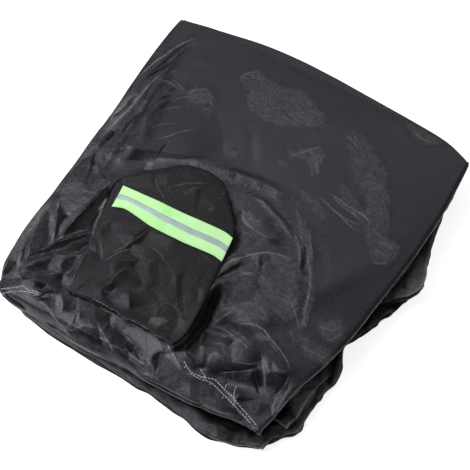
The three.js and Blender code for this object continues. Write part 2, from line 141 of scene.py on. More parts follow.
def stack_height(x, y):
    """Height of the top sheet's middle surface at a plan point."""
    left = table(SIDES_Y, SIDE_LEFT, y)
    right = table(SIDES_Y, SIDE_TOP, y)
    u = np.clip((x - left) / (right - left), 0, 1)
    v = np.clip((y + 208) / 448, 0, 1)
    crown = (1 - np.abs(2 * u - 1) ** 3.2) * (1 - np.abs(2 * v - 1) ** 4.7)
    z = mix(mix(23, 37, u), mix(39, 41, u), v) + 10.5 * crown
    for cx, cy, along, wide, turn, rise in HILLS:
        a = math.radians(turn)
        dx, dy = x - cx, y - cy
        s = (dx * math.cos(a) + dy * math.sin(a)) / along
        w = (-dx * math.sin(a) + dy * math.cos(a)) / wide
        z = z + rise * np.exp(-(s * s + w * w))
    return z


def layer_point(k, u, v):
    """Middle surface of one layer at (u across, v from front to back)."""
    level, at_mouth, middle, lower, in_left, in_right, in_front, in_gap, in_back, skew = LAYERS[k]
    front = table(ENDS_U, END_LOWER if k >= 5 else END_FRONT, u) + mix(in_front, in_gap, smooth(0.34, 0.62, u))
    back = table(ENDS_U, END_BACK, u) - in_back + skew * (u - 0.5)
    y = mix(front, back, v)
    left = table(SIDES_Y, SIDE_LEFT, y) + in_left
    top = table(SIDES_Y, SIDE_TOP, y)
    right = ((1 - middle - lower) * top + middle * table(SIDES_Y, SIDE_MIDDLE, y)
             + lower * table(SIDES_Y, SIDE_LOWER, y) - in_right)
    x = mix(left, right, u)
    gap = smooth(-20, 25, x) * (1 - smooth(145, 165, x)) * (1 - smooth(-190, -125, y))
    wave = (0.045 * SWAY[k] * (0.35 + 0.65 * smooth(0.3, 1, np.maximum(u, 1 - v)))
            * np.sin(2 * math.pi * (y + 0.35 * x) / 92))
    droop = 0.07 * math.sin(math.pi * min(1, level * 1.6)) * smooth(0, 14, x - top)
    height = mix(level, at_mouth, gap) + wave - droop
    return np.stack([x, y, CLOTH / 2 + (stack_height(x, y) - CLOTH / 2) * height], -1)


def bend(a, b, outward, t):
    """Rows of a fold between two edges, t from 0 to 1."""
    reach = outward * (0.62 * np.abs(a[:, 2] - b[:, 2]) + 0.35 * np.abs(a[:, 1] - b[:, 1]))
    push = np.stack([np.zeros_like(reach), reach, np.zeros_like(reach)], -1)
    p1, p2 = a + push, b + push
    t = np.asarray(t, float)[:, None, None]
    return (1 - t) ** 3 * a + 3 * (1 - t) ** 2 * t * p1 + 3 * (1 - t) * t * t * p2 + t ** 3 * b


def spaced(*spans):
    """Stations through a list of (from, to, steps)."""
    out = [np.linspace(a, b, n, endpoint=False) for a, b, n in spans]
    return np.concatenate(out + [[spans[-1][1]]])


def grid_normals(p):
    du = np.gradient(p, axis=1)
    dv = np.gradient(p, axis=0)
    n = np.cross(du, dv)
    return n / np.maximum(np.linalg.norm(n, axis=-1, keepdims=True), 1e-9)


# --------------------------------------------------------------- seeded noise
def lattice(seed, size=97):
    return np.random.default_rng(seed).uniform(-1, 1, (size, size))


def wobble(x, y, pitch, seed):
    """Smooth noise from -1 to 1 with features about one pitch apart."""
    g = lattice(seed)
    n = g.shape[0]
    px, py = x / pitch, y / pitch
    i, j = np.floor(px).astype(int), np.floor(py).astype(int)
    fx, fy = px - i, py - j
    fx, fy = fx * fx * (3 - 2 * fx), fy * fy * (3 - 2 * fy)
    i0, i1, j0, j1 = i % n, (i + 1) % n, j % n, (j + 1) % n
    return mix(mix(g[i0, j0], g[i1, j0], fx), mix(g[i0, j1], g[i1, j1], fx), fy)


def facets(x, y, along, wide, turn, warp, seed):
    """Noise from -1 to 1 made of flat facets that meet in sharp creases, longer
    one way than the other."""
    a = math.radians(turn)
    x, y = x + warp * wide * wobble(x, y, 1.7 * along, seed + 1), y + warp * wide * wobble(x, y, 1.7 * along, seed + 2)
    p = (x * math.cos(a) + y * math.sin(a)) / along
    q = (-x * math.sin(a) + y * math.cos(a)) / wide
    p = p + 0.42 * wobble(p, q, 1.6, seed + 3)
    q = q + 0.42 * wobble(p, q, 1.6, seed + 4)
    g = lattice(seed)
    way = lattice(seed + 5) > 0
    n = g.shape[0]
    i, j = np.floor(p).astype(int), np.floor(q).astype(int)
    fx, fy = p - i, q - j
    i0, i1, j0, j1 = i % n, (i + 1) % n, j % n, (j + 1) % n
    a00, a10, a01, a11 = g[i0, j0], g[i1, j0], g[i0, j1], g[i1, j1]
    rising = np.where(fx > fy, a00 + (a10 - a00) * fx + (a11 - a10) * fy, a00 + (a11 - a01) * fx + (a01 - a00) * fy)
    gx = 1 - fx
    falling = np.where(gx > fy, a10 + (a00 - a10) * gx + (a01 - a00) * fy, a10 + (a01 - a11) * gx + (a11 - a10) * fy)
    return np.where(way[i0, j0], rising, falling)


# --------------------------------------------------------- maps over the cloth
class Sheet:
    """A map of heights over a flat piece of cloth, drawn crease by crease."""

    def __init__(self, x0, x1, s0, s1, pitch):
        self.x0, self.s0, self.pitch = x0, s0, pitch
        self.xs = np.arange(x0, x1 + pitch, pitch)
        self.ss = np.arange(s0, s1 + pitch, pitch)
        self.x, self.s = np.meshgrid(self.xs, self.ss)
        self.h = np.zeros_like(self.x)

    def crease(self, rise, left, right, start, end, *points, into=None, power=1.2):
        """A ridge or trough along points: left and right are its widths on
        either side, start and end the shares of it that fade out."""
        line = curve_through(np.array(points, float), 1.8)
        seed = int(abs(points[0][0] * 7 + points[0][1] * 13 + rise * 29)) % 9973
        away = np.gradient(line, axis=0)
        away = np.stack([-away[:, 1], away[:, 0]], -1)
        away /= np.maximum(np.linalg.norm(away, axis=1, keepdims=True), 1e-9)
        line = line + away * (0.55 * wobble(line[:, 0], line[:, 1], 7.0, seed))[:, None]
        step = np.linalg.norm(np.diff(line, axis=0), axis=1)
        run = np.concatenate([[0], np.cumsum(step)])
        run /= run[-1]
        reach = max(left, right) + 1
        lo, hi = line.min(0) - reach, line.max(0) + reach
        i0, i1 = np.searchsorted(self.xs, [lo[0], hi[0]])
        j0, j1 = np.searchsorted(self.ss, [lo[1], hi[1]])
        if i1 <= i0 or j1 <= j0:
            return
        x, s = self.x[j0:j1, i0:i1], self.s[j0:j1, i0:i1]
        near = np.full(x.shape, 1e9)
        side = np.zeros(x.shape)
        at = np.zeros(x.shape)
        for k in range(len(line) - 1):
            a, d = line[k], line[k + 1] - line[k]
            dx, ds = x - a[0], s - a[1]
            t = np.clip((dx * d[0] + ds * d[1]) / max(d @ d, 1e-9), 0, 1)
            ex, es = dx - t * d[0], ds - t * d[1]
            far = ex * ex + es * es
            closer = far < near
            near = np.where(closer, far, near)
            side = np.where(closer, d[0] * ds - d[1] * dx, side)
            at = np.where(closer, run[k] + (run[k + 1] - run[k]) * t, at)
        near = np.sqrt(near)
        width = np.where(side > 0, left, right)
        tent = np.clip(1 - near / width, 0, 1) ** power
        fade = smooth(0, max(start, 1e-3), at) * (1 - smooth(1 - max(end, 1e-3), 1, at))
        uneven = 1 + 0.22 * wobble(x, s, 9.0, seed + 1)
        if into is None:
            self.h[j0:j1, i0:i1] += rise * tent * fade * uneven
        else:
            into[j0:j1, i0:i1] = np.maximum(into[j0:j1, i0:i1], rise * tent * fade * uneven)

    def scatter(self, seed, count, where, length, width, rise, turn, spread, ridges=0.6):
        """Small random creases over the cloth, as many as the map where asks for."""
        rng = np.random.default_rng(seed)
        where = np.clip(where, 0, None)
        share = where.ravel() / where.sum()
        for k in rng.choice(share.size, count, p=share):
            cx, cs = self.x.flat[k], self.s.flat[k]
            a = math.radians(turn + spread * rng.normal())
            half = rng.uniform(*length) / 2
            along, across = np.array([math.cos(a), math.sin(a)]), np.array([-math.sin(a), math.cos(a)])
            c = np.array([cx, cs])
            sway = rng.normal(0, 0.10, 3) * half
            points = [c - along * half + across * sway[0], c - along * half * 0.3 + across * sway[1],
                      c + along * half * 0.3 - across * sway[1], c + along * half + across * sway[2]]
            way = 1 if rng.random() < ridges else -1
            self.crease(way * rng.uniform(*rise), rng.uniform(*width), rng.uniform(*width),
                        rng.uniform(0.15, 0.45), rng.uniform(0.25, 0.5), *points)

    def window(self, points):
        """The part of the map around a polygon, and which of it lies inside."""
        lo, hi = np.min(points, axis=0) - 1, np.max(points, axis=0) + 1
        i0, i1 = np.searchsorted(self.xs, [lo[0], hi[0]])
        j0, j1 = np.searchsorted(self.ss, [lo[1], hi[1]])
        part = (slice(j0, j1), slice(i0, i1))
        x, s = self.x[part], self.s[part]
        inside = np.zeros(x.shape, bool)
        for (x1, s1), (x2, s2) in zip(points, [*points[1:], points[0]]):
            if s1 != s2:
                inside ^= ((s1 > s) != (s2 > s)) & (x < (x2 - x1) * (s - s1) / (s2 - s1) + x1)
        return part, inside

    def area(self, soft, *polygons):
        """1 inside any of the polygons and 0 outside, fading over soft millimetres."""
        inside = np.zeros(self.x.shape, bool)
        for points in polygons:
            part, within = self.window(points)
            inside[part] |= within
        return blurred(inside.astype(float), soft / self.pitch / 2)

    def tilted(self, facets, reach, soft=0.0):
        """Heights whose slopes come as near as they can to those of flat facets,
        each given as its slopes along x and s and then its corners; away from them
        the cloth falls back to its own level over about one reach."""
        gx, gs = np.zeros_like(self.x), np.zeros_like(self.x)
        for slope_x, slope_s, *points in facets:
            part, inside = self.window(points)
            gx[part][inside] = slope_x
            gs[part][inside] = slope_s
        gx, gs = blurred(gx, soft / self.pitch), blurred(gs, soft / self.pitch)
        pad = int(2 * reach / self.pitch)
        gx, gs = np.pad(gx, pad), np.pad(gs, pad)
        kx = 2 * math.pi * np.fft.rfftfreq(gx.shape[1], self.pitch)[None, :]
        ks = 2 * math.pi * np.fft.fftfreq(gx.shape[0], self.pitch)[:, None]
        level = -(1j * kx * np.fft.rfft2(gx) + 1j * ks * np.fft.rfft2(gs)) / (kx * kx + ks * ks + 1 / reach ** 2)
        return np.fft.irfft2(level, s=gx.shape)[pad:-pad, pad:-pad]

    def at(self, x, s, values=None):
        values = self.h if values is None else values
        px = np.clip((x - self.x0) / self.pitch, 0, len(self.xs) - 1.001)
        py = np.clip((s - self.s0) / self.pitch, 0, len(self.ss) - 1.001)
        i, j = px.astype(int), py.astype(int)
        fx, fy = px - i, py - j
        return mix(mix(values[j, i], values[j, i + 1], fx), mix(values[j + 1, i], values[j + 1, i + 1], fx), fy)


def curve_through(points, pitch):
    """A smooth line through points, resampled at about one pitch."""
    if len(points) == 2:
        n = max(2, int(np.linalg.norm(points[1] - points[0]) / pitch) + 1)
        return points[0] + (points[1] - points[0]) * np.linspace(0, 1, n)[:, None]
    ends = np.vstack([2 * points[0] - points[1], points, 2 * points[-1] - points[-2]])
    out = []
    for k in range(1, len(ends) - 2):
        p0, p1, p2, p3 = ends[k - 1:k + 3]
        n = max(2, int(np.linalg.norm(p2 - p1) / pitch))
        t = np.linspace(0, 1, n, endpoint=False)[:, None]
        out.append(0.5 * (2 * p1 + (p2 - p0) * t + (2 * p0 - 5 * p1 + 4 * p2 - p3) * t * t
                          + (3 * p1 - p0 - 3 * p2 + p3) * t ** 3))
    return np.vstack(out + [points[-1:]])


def blurred(values, sigma):
    """Gaussian blur, as three box blurs each way."""
    if sigma < 0.3:
        return values
    size = max(1, int(round(math.sqrt(4 * sigma * sigma + 1))) | 1)
    for axis in (0, 1):
        for _ in range(3):
            pad = [(0, 0), (0, 0)]
            pad[axis] = (size // 2 + 1, size // 2)
            total = np.cumsum(np.pad(values, pad, mode="edge"), axis=axis)
            n = values.shape[axis]
            upper = np.take(total, range(size, size + n), axis=axis)
            lower = np.take(total, range(0, n), axis=axis)
            values = (upper - lower) / size
    return values


# ------------------------------------------------------- grids of the cover
def top_grid(columns, front_rows, stations, back_rows):
    """Middle surface of the hem, the top sheet and the fold behind it: points,
    and each point's place (x, s) on the cloth, s running from front to back."""
    u = columns
    front = layer_point(0, u, 0.0)
    hem = table(ENDS_U, END_HEM, u)
    turn = (math.pi / 2) * (1 - front_rows[:, None])
    drop = front[:, 2] - hem
    rows = np.stack([
        np.broadcast_to(front[:, 0], (len(front_rows), len(u))),
        front[:, 1] - HEM_OVERHANG * np.sin(turn),
        front[:, 2] - drop * (1 - np.cos(turn)),
    ], -1)
    top = layer_point(0, u[None, :], stations[:, None])
    last = layer_point(0, u, 1.0)
    under = layer_point(1, u, 1.0)
    behind = bend(last, under, 1.0, back_rows[1:])
    points = np.concatenate([rows[:-1], top, behind])
    first = len(front_rows) - 1
    step = np.linalg.norm(np.diff(points, axis=0), axis=-1)
    s = np.zeros(points.shape[:2])
    s[first:first + len(stations)] = top[..., 1]
    for i in range(first - 1, -1, -1):
        s[i] = s[i + 1] - step[i]
    for i in range(first + len(stations), len(points)):
        s[i] = s[i - 1] + step[i - 1]
    return points, points[..., 0].copy(), s


# ------------------------------------------------------ creases
# Along the cloth: rise (a ridge, or a trough below 0), widths on its left and
# right, shares of its length that fade out at its ends, then its points (x, s).
SOFT_FOLDS = [
    (1.8, 7, 7, 0.4, 0.4, (139, -91.4), (153, -93.8), (166.2, -94.7), (177.2, -93.2)),
    (-2, 8, 8, 0.4, 0.4, (19.2, 28), (35.7, 22.8), (57.5, 10.6)),
    (-1.6, 8, 8, 0.4, 0.4, (-63.2, 137.9), (-46.5, 115), (-24.9, 79)),
    (1.2, 6, 6, 0.4, 0.4, (64.5, 228.2), (94.4, 223), (118.5, 207.7), (136.7, 193.5)),
    (-1.4, 9, 9, 0.4, 0.4, (82, 47.6), (99.2, 24.5), (116.5, -3.5), (130.2, -32.3)),
]

CREASES = [
    (1.6, 4, 4, 0.4, 0.4, (-177.1, 121.6), (-171.2, 129), (-164.7, 136.7)),
    (3.6, 10, 14, 0.3, 0.3, (-104.2, 53), (-81.8, 55.3), (-56.8, 59.2), (-26.4, 65.6), (-4.7, 68.4), (17.2, 68), (35.5, 68.7), (52.6, 66.6)),
    (2, 5, 6, 0.3, 0.3, (-16, 37.4), (-7.3, 45.3), (7.9, 47), (25.2, 40.3), (41.7, 35), (57.5, 26.3), (71.9, 15.2)),
]

# thin sharp creases: strength (a trough below 0), fades, points
LINES = [
    (4.2, 0.15, 0.25, (-187.4, 216.6), (-200.3, 192.8), (-206.4, 172.4), (-213.1, 149.5), (-218.6, 123.7)),
    (-2.6, 0.3, 0.3, (-181.8, 212.2), (-190.8, 187.3), (-193.5, 168.5), (-199.8, 150.4), (-204.6, 135.7), (-211.3, 113.3)),
    (4.8, 0.15, 0.2, (-196.2, 149.5), (-198.7, 125.5), (-199, 103.6), (-199.2, 82.3), (-201.4, 60.7), (-205.7, 41.5)),
    (3, 0.2, 0.3, (-203.4, 105.3), (-205.7, 90), (-209.2, 73.1), (-210.8, 52.5)),
    (-3, 0.3, 0.3, (-155.2, 131.4), (-166.5, 121.4), (-172.9, 106.4), (-178.9, 94.9), (-184.7, 80.4), (-192.1, 61.6)),
    (-2, 0.3, 0.3, (-164.3, 113.2), (-167.4, 96.3), (-169.3, 78.4), (-170.1, 57.7), (-168.8, 43.1)),
    (2, 0.4, 0.4, (-178.3, 140.9), (-167.1, 140.5), (-151.5, 134.7)),
    (2, 0.4, 0.4, (-188.8, 152.4), (-177.8, 157.7)),
    (1.6, 0.4, 0.4, (-132.1, 135.8), (-146, 130.6), (-156.8, 120.2), (-161.9, 109.6)),
    (3, 0.3, 0.4, (-150.6, 57.2), (-138.5, 67.2), (-126.6, 81.8), (-107.5, 100.7)),
    (-2.5, 0.3, 0.3, (-132.1, 65.9), (-132.5, 53.1), (-133.1, 36.5)),
    (2, 0.4, 0.4, (-168.9, 29.1), (-160.1, 35.1)),
    (-2.5, 0.3, 0.3, (-202.1, 12.2), (-196.1, -1.2), (-191.3, -14.8), (-183.3, -34.8)),
    (-1.2, 0.4, 0.4, (-208.7, -50.1), (-194.8, -39.7)),
    (-1.5, 0.3, 0.3, (-180.4, -53.5), (-175, -43.7), (-175.6, -36.3), (-176.3, -24.8), (-176.8, -16)),
    (-1.2, 0.4, 0.4, (-181.2, -8.7), (-162.2, -18.3), (-155.1, -15.2)),
    (4.6, 0.2, 0.2, (-202.5, -65), (-188.6, -86.4), (-180, -103.7), (-173.1, -119.6)),
    (6, 0.15, 0.25, (-157.8, -17.1), (-160.1, -48.4), (-166.3, -79.3), (-169, -105.1)),
    (-3, 0.3, 0.3, (-145.9, -44), (-147.7, -58.9), (-146.7, -71.4), (-143.5, -84.1)),
    (1.2, 0.3, 0.3, (-149.7, -45), (-149.8, -53.7), (-148.4, -62.2)),
    (1.2, 0.3, 0.3, (-140.7, -49.5), (-139.4, -59.8), (-139.8, -70)),
    (3.2, 0.2, 0.3, (-172.7, -116.2), (-168.6, -109.7), (-160, -98), (-150.1, -87.1), (-139.2, -83.9)),
    (-4, 0.3, 0.3, (-185.9, -149.4), (-176.7, -134.8), (-166.7, -120), (-155.9, -107.1), (-146.2, -93.5)),
    (-2, 0.4, 0.4, (-156.5, -117.1), (-145, -104.1)),
    (-2, 0.4, 0.4, (-131, -93.3), (-138.2, -104.6)),
    (-1.6, 0.3, 0.3, (-186.4, -156.3), (-194.8, -143.6), (-195.7, -129.9), (-198.3, -119.7)),
    (2.2, 0.3, 0.3, (-194, -138.8), (-193.2, -154.3), (-189.4, -166.2), (-185.5, -181.5)),
    (2, 0.3, 0.3, (-184.8, -166.2), (-176.6, -153.7), (-169.8, -140.4), (-162.6, -129.3)),
    (2, 0.3, 0.3, (-163.6, -129.9), (-148.7, -126.6), (-138.7, -114.1)),
    (1, 0.4, 0.4, (-155.5, -148.5), (-148.5, -142.9)),
    (-5, 0.4, 0.3, (-158, -189.6), (-145.9, -186.1), (-139.3, -175.7), (-129.5, -166.2)),
    (4, 0.3, 0.2, (-148.3, -187), (-133.1, -191.2), (-123.9, -194.5), (-113.6, -198.4), (-107.1, -201.8), (-98, -203.7)),
    (3, 0.2, 0.3, (-98, -203.7), (-88.3, -200.7), (-83.3, -194), (-79.6, -189.5), (-71.8, -187.4), (-63.2, -184.1)),
    (2, 0.3, 0.3, (-124.9, -164.7), (-118.9, -177.1), (-113, -188), (-107.7, -199.4)),
    (-1.6, 0.3, 0.4, (-97.4, -179.1), (-92.9, -189.6), (-89.9, -200.1)),
    (5, 0.2, 0.25, (-65.5, -182.6), (-52.7, -190.8), (-42.8, -198.1), (-36, -206.5)),
    (4, 0.2, 0.3, (-43, -176.1), (-31.5, -177.5), (-18.6, -183.1), (-7, -189), (5.6, -195.7)),
    (3.5, 0.3, 0.2, (-41.4, -193.7), (-30.8, -189.2), (-18.2, -192.2), (-6.4, -193.8), (7.4, -196.4)),
    (3, 0.2, 0.3, (7.4, -196.4), (7.8, -188.3), (5.8, -178.5), (9.4, -175.6)),
    (-3, 0.3, 0.3, (9.3, -179.5), (16.7, -190.2), (20.7, -200.9)),
    (4.2, 0.2, 0.25, (-0.8, -157.2), (11.1, -163.1), (23.4, -169.3), (35.6, -177), (47.7, -184.9)),
    (4, 0.25, 0.2, (-44.2, -172.5), (-35.7, -164.8), (-24.6, -159.2), (-11.5, -158.9), (1.8, -161.2)),
    (-3.5, 0.2, 0.2, (24.4, -71), (28.2, -98.1), (34.9, -118.9), (34, -140), (31.4, -158), (22.3, -167.5)),
    (4.2, 0.3, 0.2, (10, -70.2), (13, -58), (16.9, -42.8), (25.8, -31.5), (37.5, -18.1), (51.8, -8.7), (66.7, -5.3), (83.5, -5.1)),
    (3, 0.3, 0.3, (12.2, -88.5), (15.5, -74.8), (21.4, -63.4), (27.8, -52.1), (33.4, -43.8)),
    (-3.2, 0.3, 0.3, (18, -76.9), (20.3, -61.5), (25.3, -48.1), (31.2, -38.1)),
    (1.5, 0.4, 0.4, (59.8, -17.7), (71.1, -15), (80.4, -13.2), (83.5, -5.1)),
    (1.2, 0.4, 0.4, (42, -19), (46, -28.3), (54.8, -31.7)),
    (-2, 0.3, 0.3, (54.5, -53.8), (49.2, -64.4), (47.3, -76.1), (47.7, -86.7), (43, -91.7)),
    (-2, 0.3, 0.4, (47.6, -91), (43.2, -98.6), (40.6, -106.5)),
    (2.5, 0.3, 0.3, (60.5, -88.4), (51.3, -95.4), (45.4, -110.7), (44.2, -119.1)),
    (5.5, 0.2, 0.2, (60.1, -107.5), (69.7, -103.7), (80.4, -100.1), (90, -98.8), (98.9, -98.1), (107.9, -102.2), (117.9, -107.3), (127.8, -111.5), (135.2, -115.9), (142.9, -122.9), (149.5, -129.4)),
    (2.5, 0.3, 0.4, (60.1, -107.5), (61.2, -94.3), (66.4, -87.4)),
    (5, 0.2, 0.3, (149.5, -129.4), (150.8, -142.9), (148.2, -155.9), (150.3, -167.3), (154.5, -177.7)),
    (4.6, 0.3, 0.3, (116.1, -131.7), (122.5, -140.8), (130.7, -152.9), (134.8, -161.8), (138.3, -169.4)),
    (-4, 0.3, 0.3, (72.4, -166.4), (84.6, -159.7), (99.1, -152.2), (110.4, -146), (119.7, -144.6)),
    (2, 0.3, 0.4, (88, -149.9), (101.3, -145), (112.6, -141.5)),
    (-4, 0.3, 0.4, (111.6, -149.6), (122.1, -156.7), (134.1, -166.3)),
    (1.5, 0.4, 0.4, (129, -138.8), (137.9, -132.9), (148.7, -130.1)),
    (1.5, 0.4, 0.4, (117.1, -181.7), (129.9, -171.6), (144.4, -166)),
    (2, 0.3, 0.3, (67.6, -138.1), (72.9, -142), (80.4, -145.7), (84.5, -150.4)),
    (-1.2, 0.3, 0.3, (74.7, -128.8), (86.2, -128.6), (96.4, -130.9)),
    (2, 0.3, 0.4, (43.2, -119.6), (60.9, -121.1), (79.5, -123.9)),
    (-1.5, 0.3, 0.4, (34.5, -161.1), (48.6, -163)),
    (2.5, 0.3, 0.3, (56.5, 32.6), (69.5, 21.5), (78.4, 10.6), (86.4, -3.3), (92.5, -11.5)),
    (2.5, 0.2, 0.3, (69.5, 39.7), (82.9, 20.9), (94.6, 3.1), (101.8, -5), (115.3, -28.6), (120.3, -46.3), (127.4, -62.6), (132.9, -80.7), (134.4, -90)),
    (-2, 0.3, 0.3, (79.9, 17), (88.8, 1.7), (97.6, -11.2)),
    (-2, 0.4, 0.4, (96.9, -16.9), (100.1, -11.1), (102.5, -6.2)),
    (2, 0.3, 0.4, (119.7, -82.1), (127.7, -87.1), (134.2, -91.7)),
    (2, 0.4, 0.4, (126.5, -63.2), (131.4, -67.2), (136, -68.6)),
    (2.5, 0.3, 0.3, (-11, 29.1), (4.4, 14.8), (21.6, 8.5), (39.4, 7.7), (48.6, 12.2)),
    (2.5, 0.3, 0.3, (3.2, 116.7), (12.2, 126.9), (20.6, 138.3), (30.4, 147.2)),
    (2, 0.3, 0.3, (25.8, 136.4), (37.9, 122.3), (47.3, 108.3)),
    (3, 0.3, 0.2, (63.2, 96.8), (77.8, 94.5), (92.3, 92.2), (106.1, 91.3), (122.9, 89.3), (129.1, 80.7)),
    (3, 0.3, 0.3, (53.3, 86.1), (63, 85.5), (79.7, 79.6), (99.7, 74.5), (111.7, 69.5), (127.8, 68.8)),
    (2, 0.4, 0.4, (99.9, 90.6), (120.7, 81.6)),
    (2.5, 0.4, 0.4, (131.6, 80.7), (146.9, 76.7), (157.7, 76)),
    (2.5, 0.4, 0.4, (154.2, 75.3), (171.2, 68.1)),
    (2, 0.4, 0.4, (163.4, 75.2), (175.9, 76)),
    (3, 0.3, 0.3, (107.1, 232.5), (120.7, 224.5), (134.1, 224.5), (145.5, 228.5)),
    (4, 0.3, 0.3, (-208.7, -76.4), (-206.3, -94.8), (-203.7, -112.5), (-202.4, -130.3)),
    (3, 0.3, 0.3, (-208.3, -67.3), (-203.7, -86.7), (-200.4, -106.8), (-197.1, -127.7)),
    (2.5, 0.3, 0.3, (-204.5, 102.8), (-206.1, 81.8), (-211, 61.9)),
    (3, 0.3, 0.3, (-62.6, -185.1), (-41.7, -196.9)),
    (3.5, 0.3, 0.3, (6.3, -196.8), (4.9, -186), (7.3, -176.6)),
    (3, 0.3, 0.3, (72.5, 41.3), (86.6, 23.6), (98.4, 5.4)),
    (2, 0.3, 0.3, (45.4, 60.7), (63.4, 41), (79.9, 17)),
    (2, 0.3, 0.3, (89.5, -46.4), (102.7, -51.1), (117, -62.4), (132.9, -80.7)),
    (2.5, 0.3, 0.3, (90.7, -99.8), (104.5, -105.5), (121.3, -113.3), (136.2, -121.9)),
    (2, 0.3, 0.3, (139, -91.4), (161.4, -90.8), (177.9, -86.3)),
    (2, 0.3, 0.3, (143.5, -59.4), (157.6, -57.3), (164.4, -47)),
    (2, 0.3, 0.3, (160.1, -72.9), (166.9, -62.6), (171.4, -48)),
    (2, 0.3, 0.3, (45.4, 175.7), (56, 173.7), (67.6, 167.4)),
    (2, 0.3, 0.3, (47.1, 189.6), (58.5, 178.9), (62.2, 167.4)),
    (2, 0.3, 0.3, (146.9, 57.9), (157, 58.3), (169.4, 54.5)),
    (2, 0.3, 0.3, (145.6, 69.6), (158.9, 69), (170.9, 71)),
    (2, 0.3, 0.3, (153.8, 40.6), (162.5, 43.5), (170.6, 52.3)),
    (2, 0.3, 0.3, (-160.7, 68.1), (-148.6, 82.8), (-132.7, 91.4)),
    (2, 0.3, 0.3, (-150.1, 130.3), (-142, 142.5), (-127.2, 150.7)),
    (2, 0.3, 0.3, (-164.8, 91.9), (-155.8, 105.1), (-142.3, 115.7)),
    (2, 0.3, 0.3, (-106.7, 186.6), (-99.4, 202.7), (-87.5, 206.4)),
    (2, 0.3, 0.3, (-193.1, 140.6), (-172.9, 136.4), (-154.6, 135)),
    (2, 0.3, 0.3, (71.5, 93.8), (99.3, 87), (123.6, 83.4)),
    (2, 0.3, 0.3, (94.8, 76.2), (111, 75.4), (123.3, 76.9)),
]

POCKET_LINES = [
    (1.6, 0.3, 0.3, (-120.6, 14.5), (-111.4, 6.7), (-103.3, -1.6), (-94.8, -6.3), (-83.8, -12.8)),
    (1.2, 0.3, 0.3, (-91.9, 6.5), (-81.1, 17.5), (-66.7, 27.3), (-54, 33.1)),
    (1, 0.4, 0.4, (-74.1, 8.6), (-66.1, 19.7), (-56.8, 26.7)),
    (0.9, 0.4, 0.4, (-45.3, 12.6), (-35, 9.1), (-29.9, 7.4)),
    (0.9, 0.4, 0.4, (-34, 27.2), (-34.7, 34.8)),
    (0.8, 0.4, 0.4, (-51.3, 9.1), (-43.6, 12)),
    (1, 0.3, 0.4, (-153, -3.2), (-142.1, -14.7)),
    (1.2, 0.3, 0.3, (-154.6, -16.8), (-154.7, -10.6), (-151.8, -7.2)),
    (1.8, 0.3, 0.3, (-102.2, -103.5), (-95.9, -92.5), (-90.4, -80.3), (-84.8, -68), (-80.1, -54.5)),
    (-2.4, 0.3, 0.3, (-91.4, -87), (-88.3, -73), (-85, -57.3)),
    (1.2, 0.4, 0.4, (-87.6, -80.3), (-80.3, -85.3)),
    (1.6, 0.2, 0.3, (-70.4, -73.5), (-52.8, -75.6), (-40.9, -83.8)),
    (1.6, 0.3, 0.3, (-125.8, -90.8), (-114.1, -104.1), (-105.3, -117.1)),
    (1.6, 0.2, 0.3, (-105.3, -117.1), (-99.2, -107.9), (-93.7, -95.8), (-83.7, -84.2)),
    (1.2, 0.3, 0.3, (-83.7, -147.2), (-76.4, -146), (-68.6, -137.5)),
    (1, 0.4, 0.4, (-83.5, -131.4), (-79.8, -120.7), (-77.2, -110.4)),
    (1, 0.4, 0.4, (-129.4, -156.1), (-128.9, -148.7), (-129.9, -139.1)),
    (-2, 0.3, 0.3, (-121.7, -168.1), (-115.3, -162.7), (-110.3, -155.8), (-104.6, -144.3)),
    (1, 0.4, 0.4, (-18.6, -128.3), (-8.1, -124), (3.9, -126), (14.2, -131.6)),
]

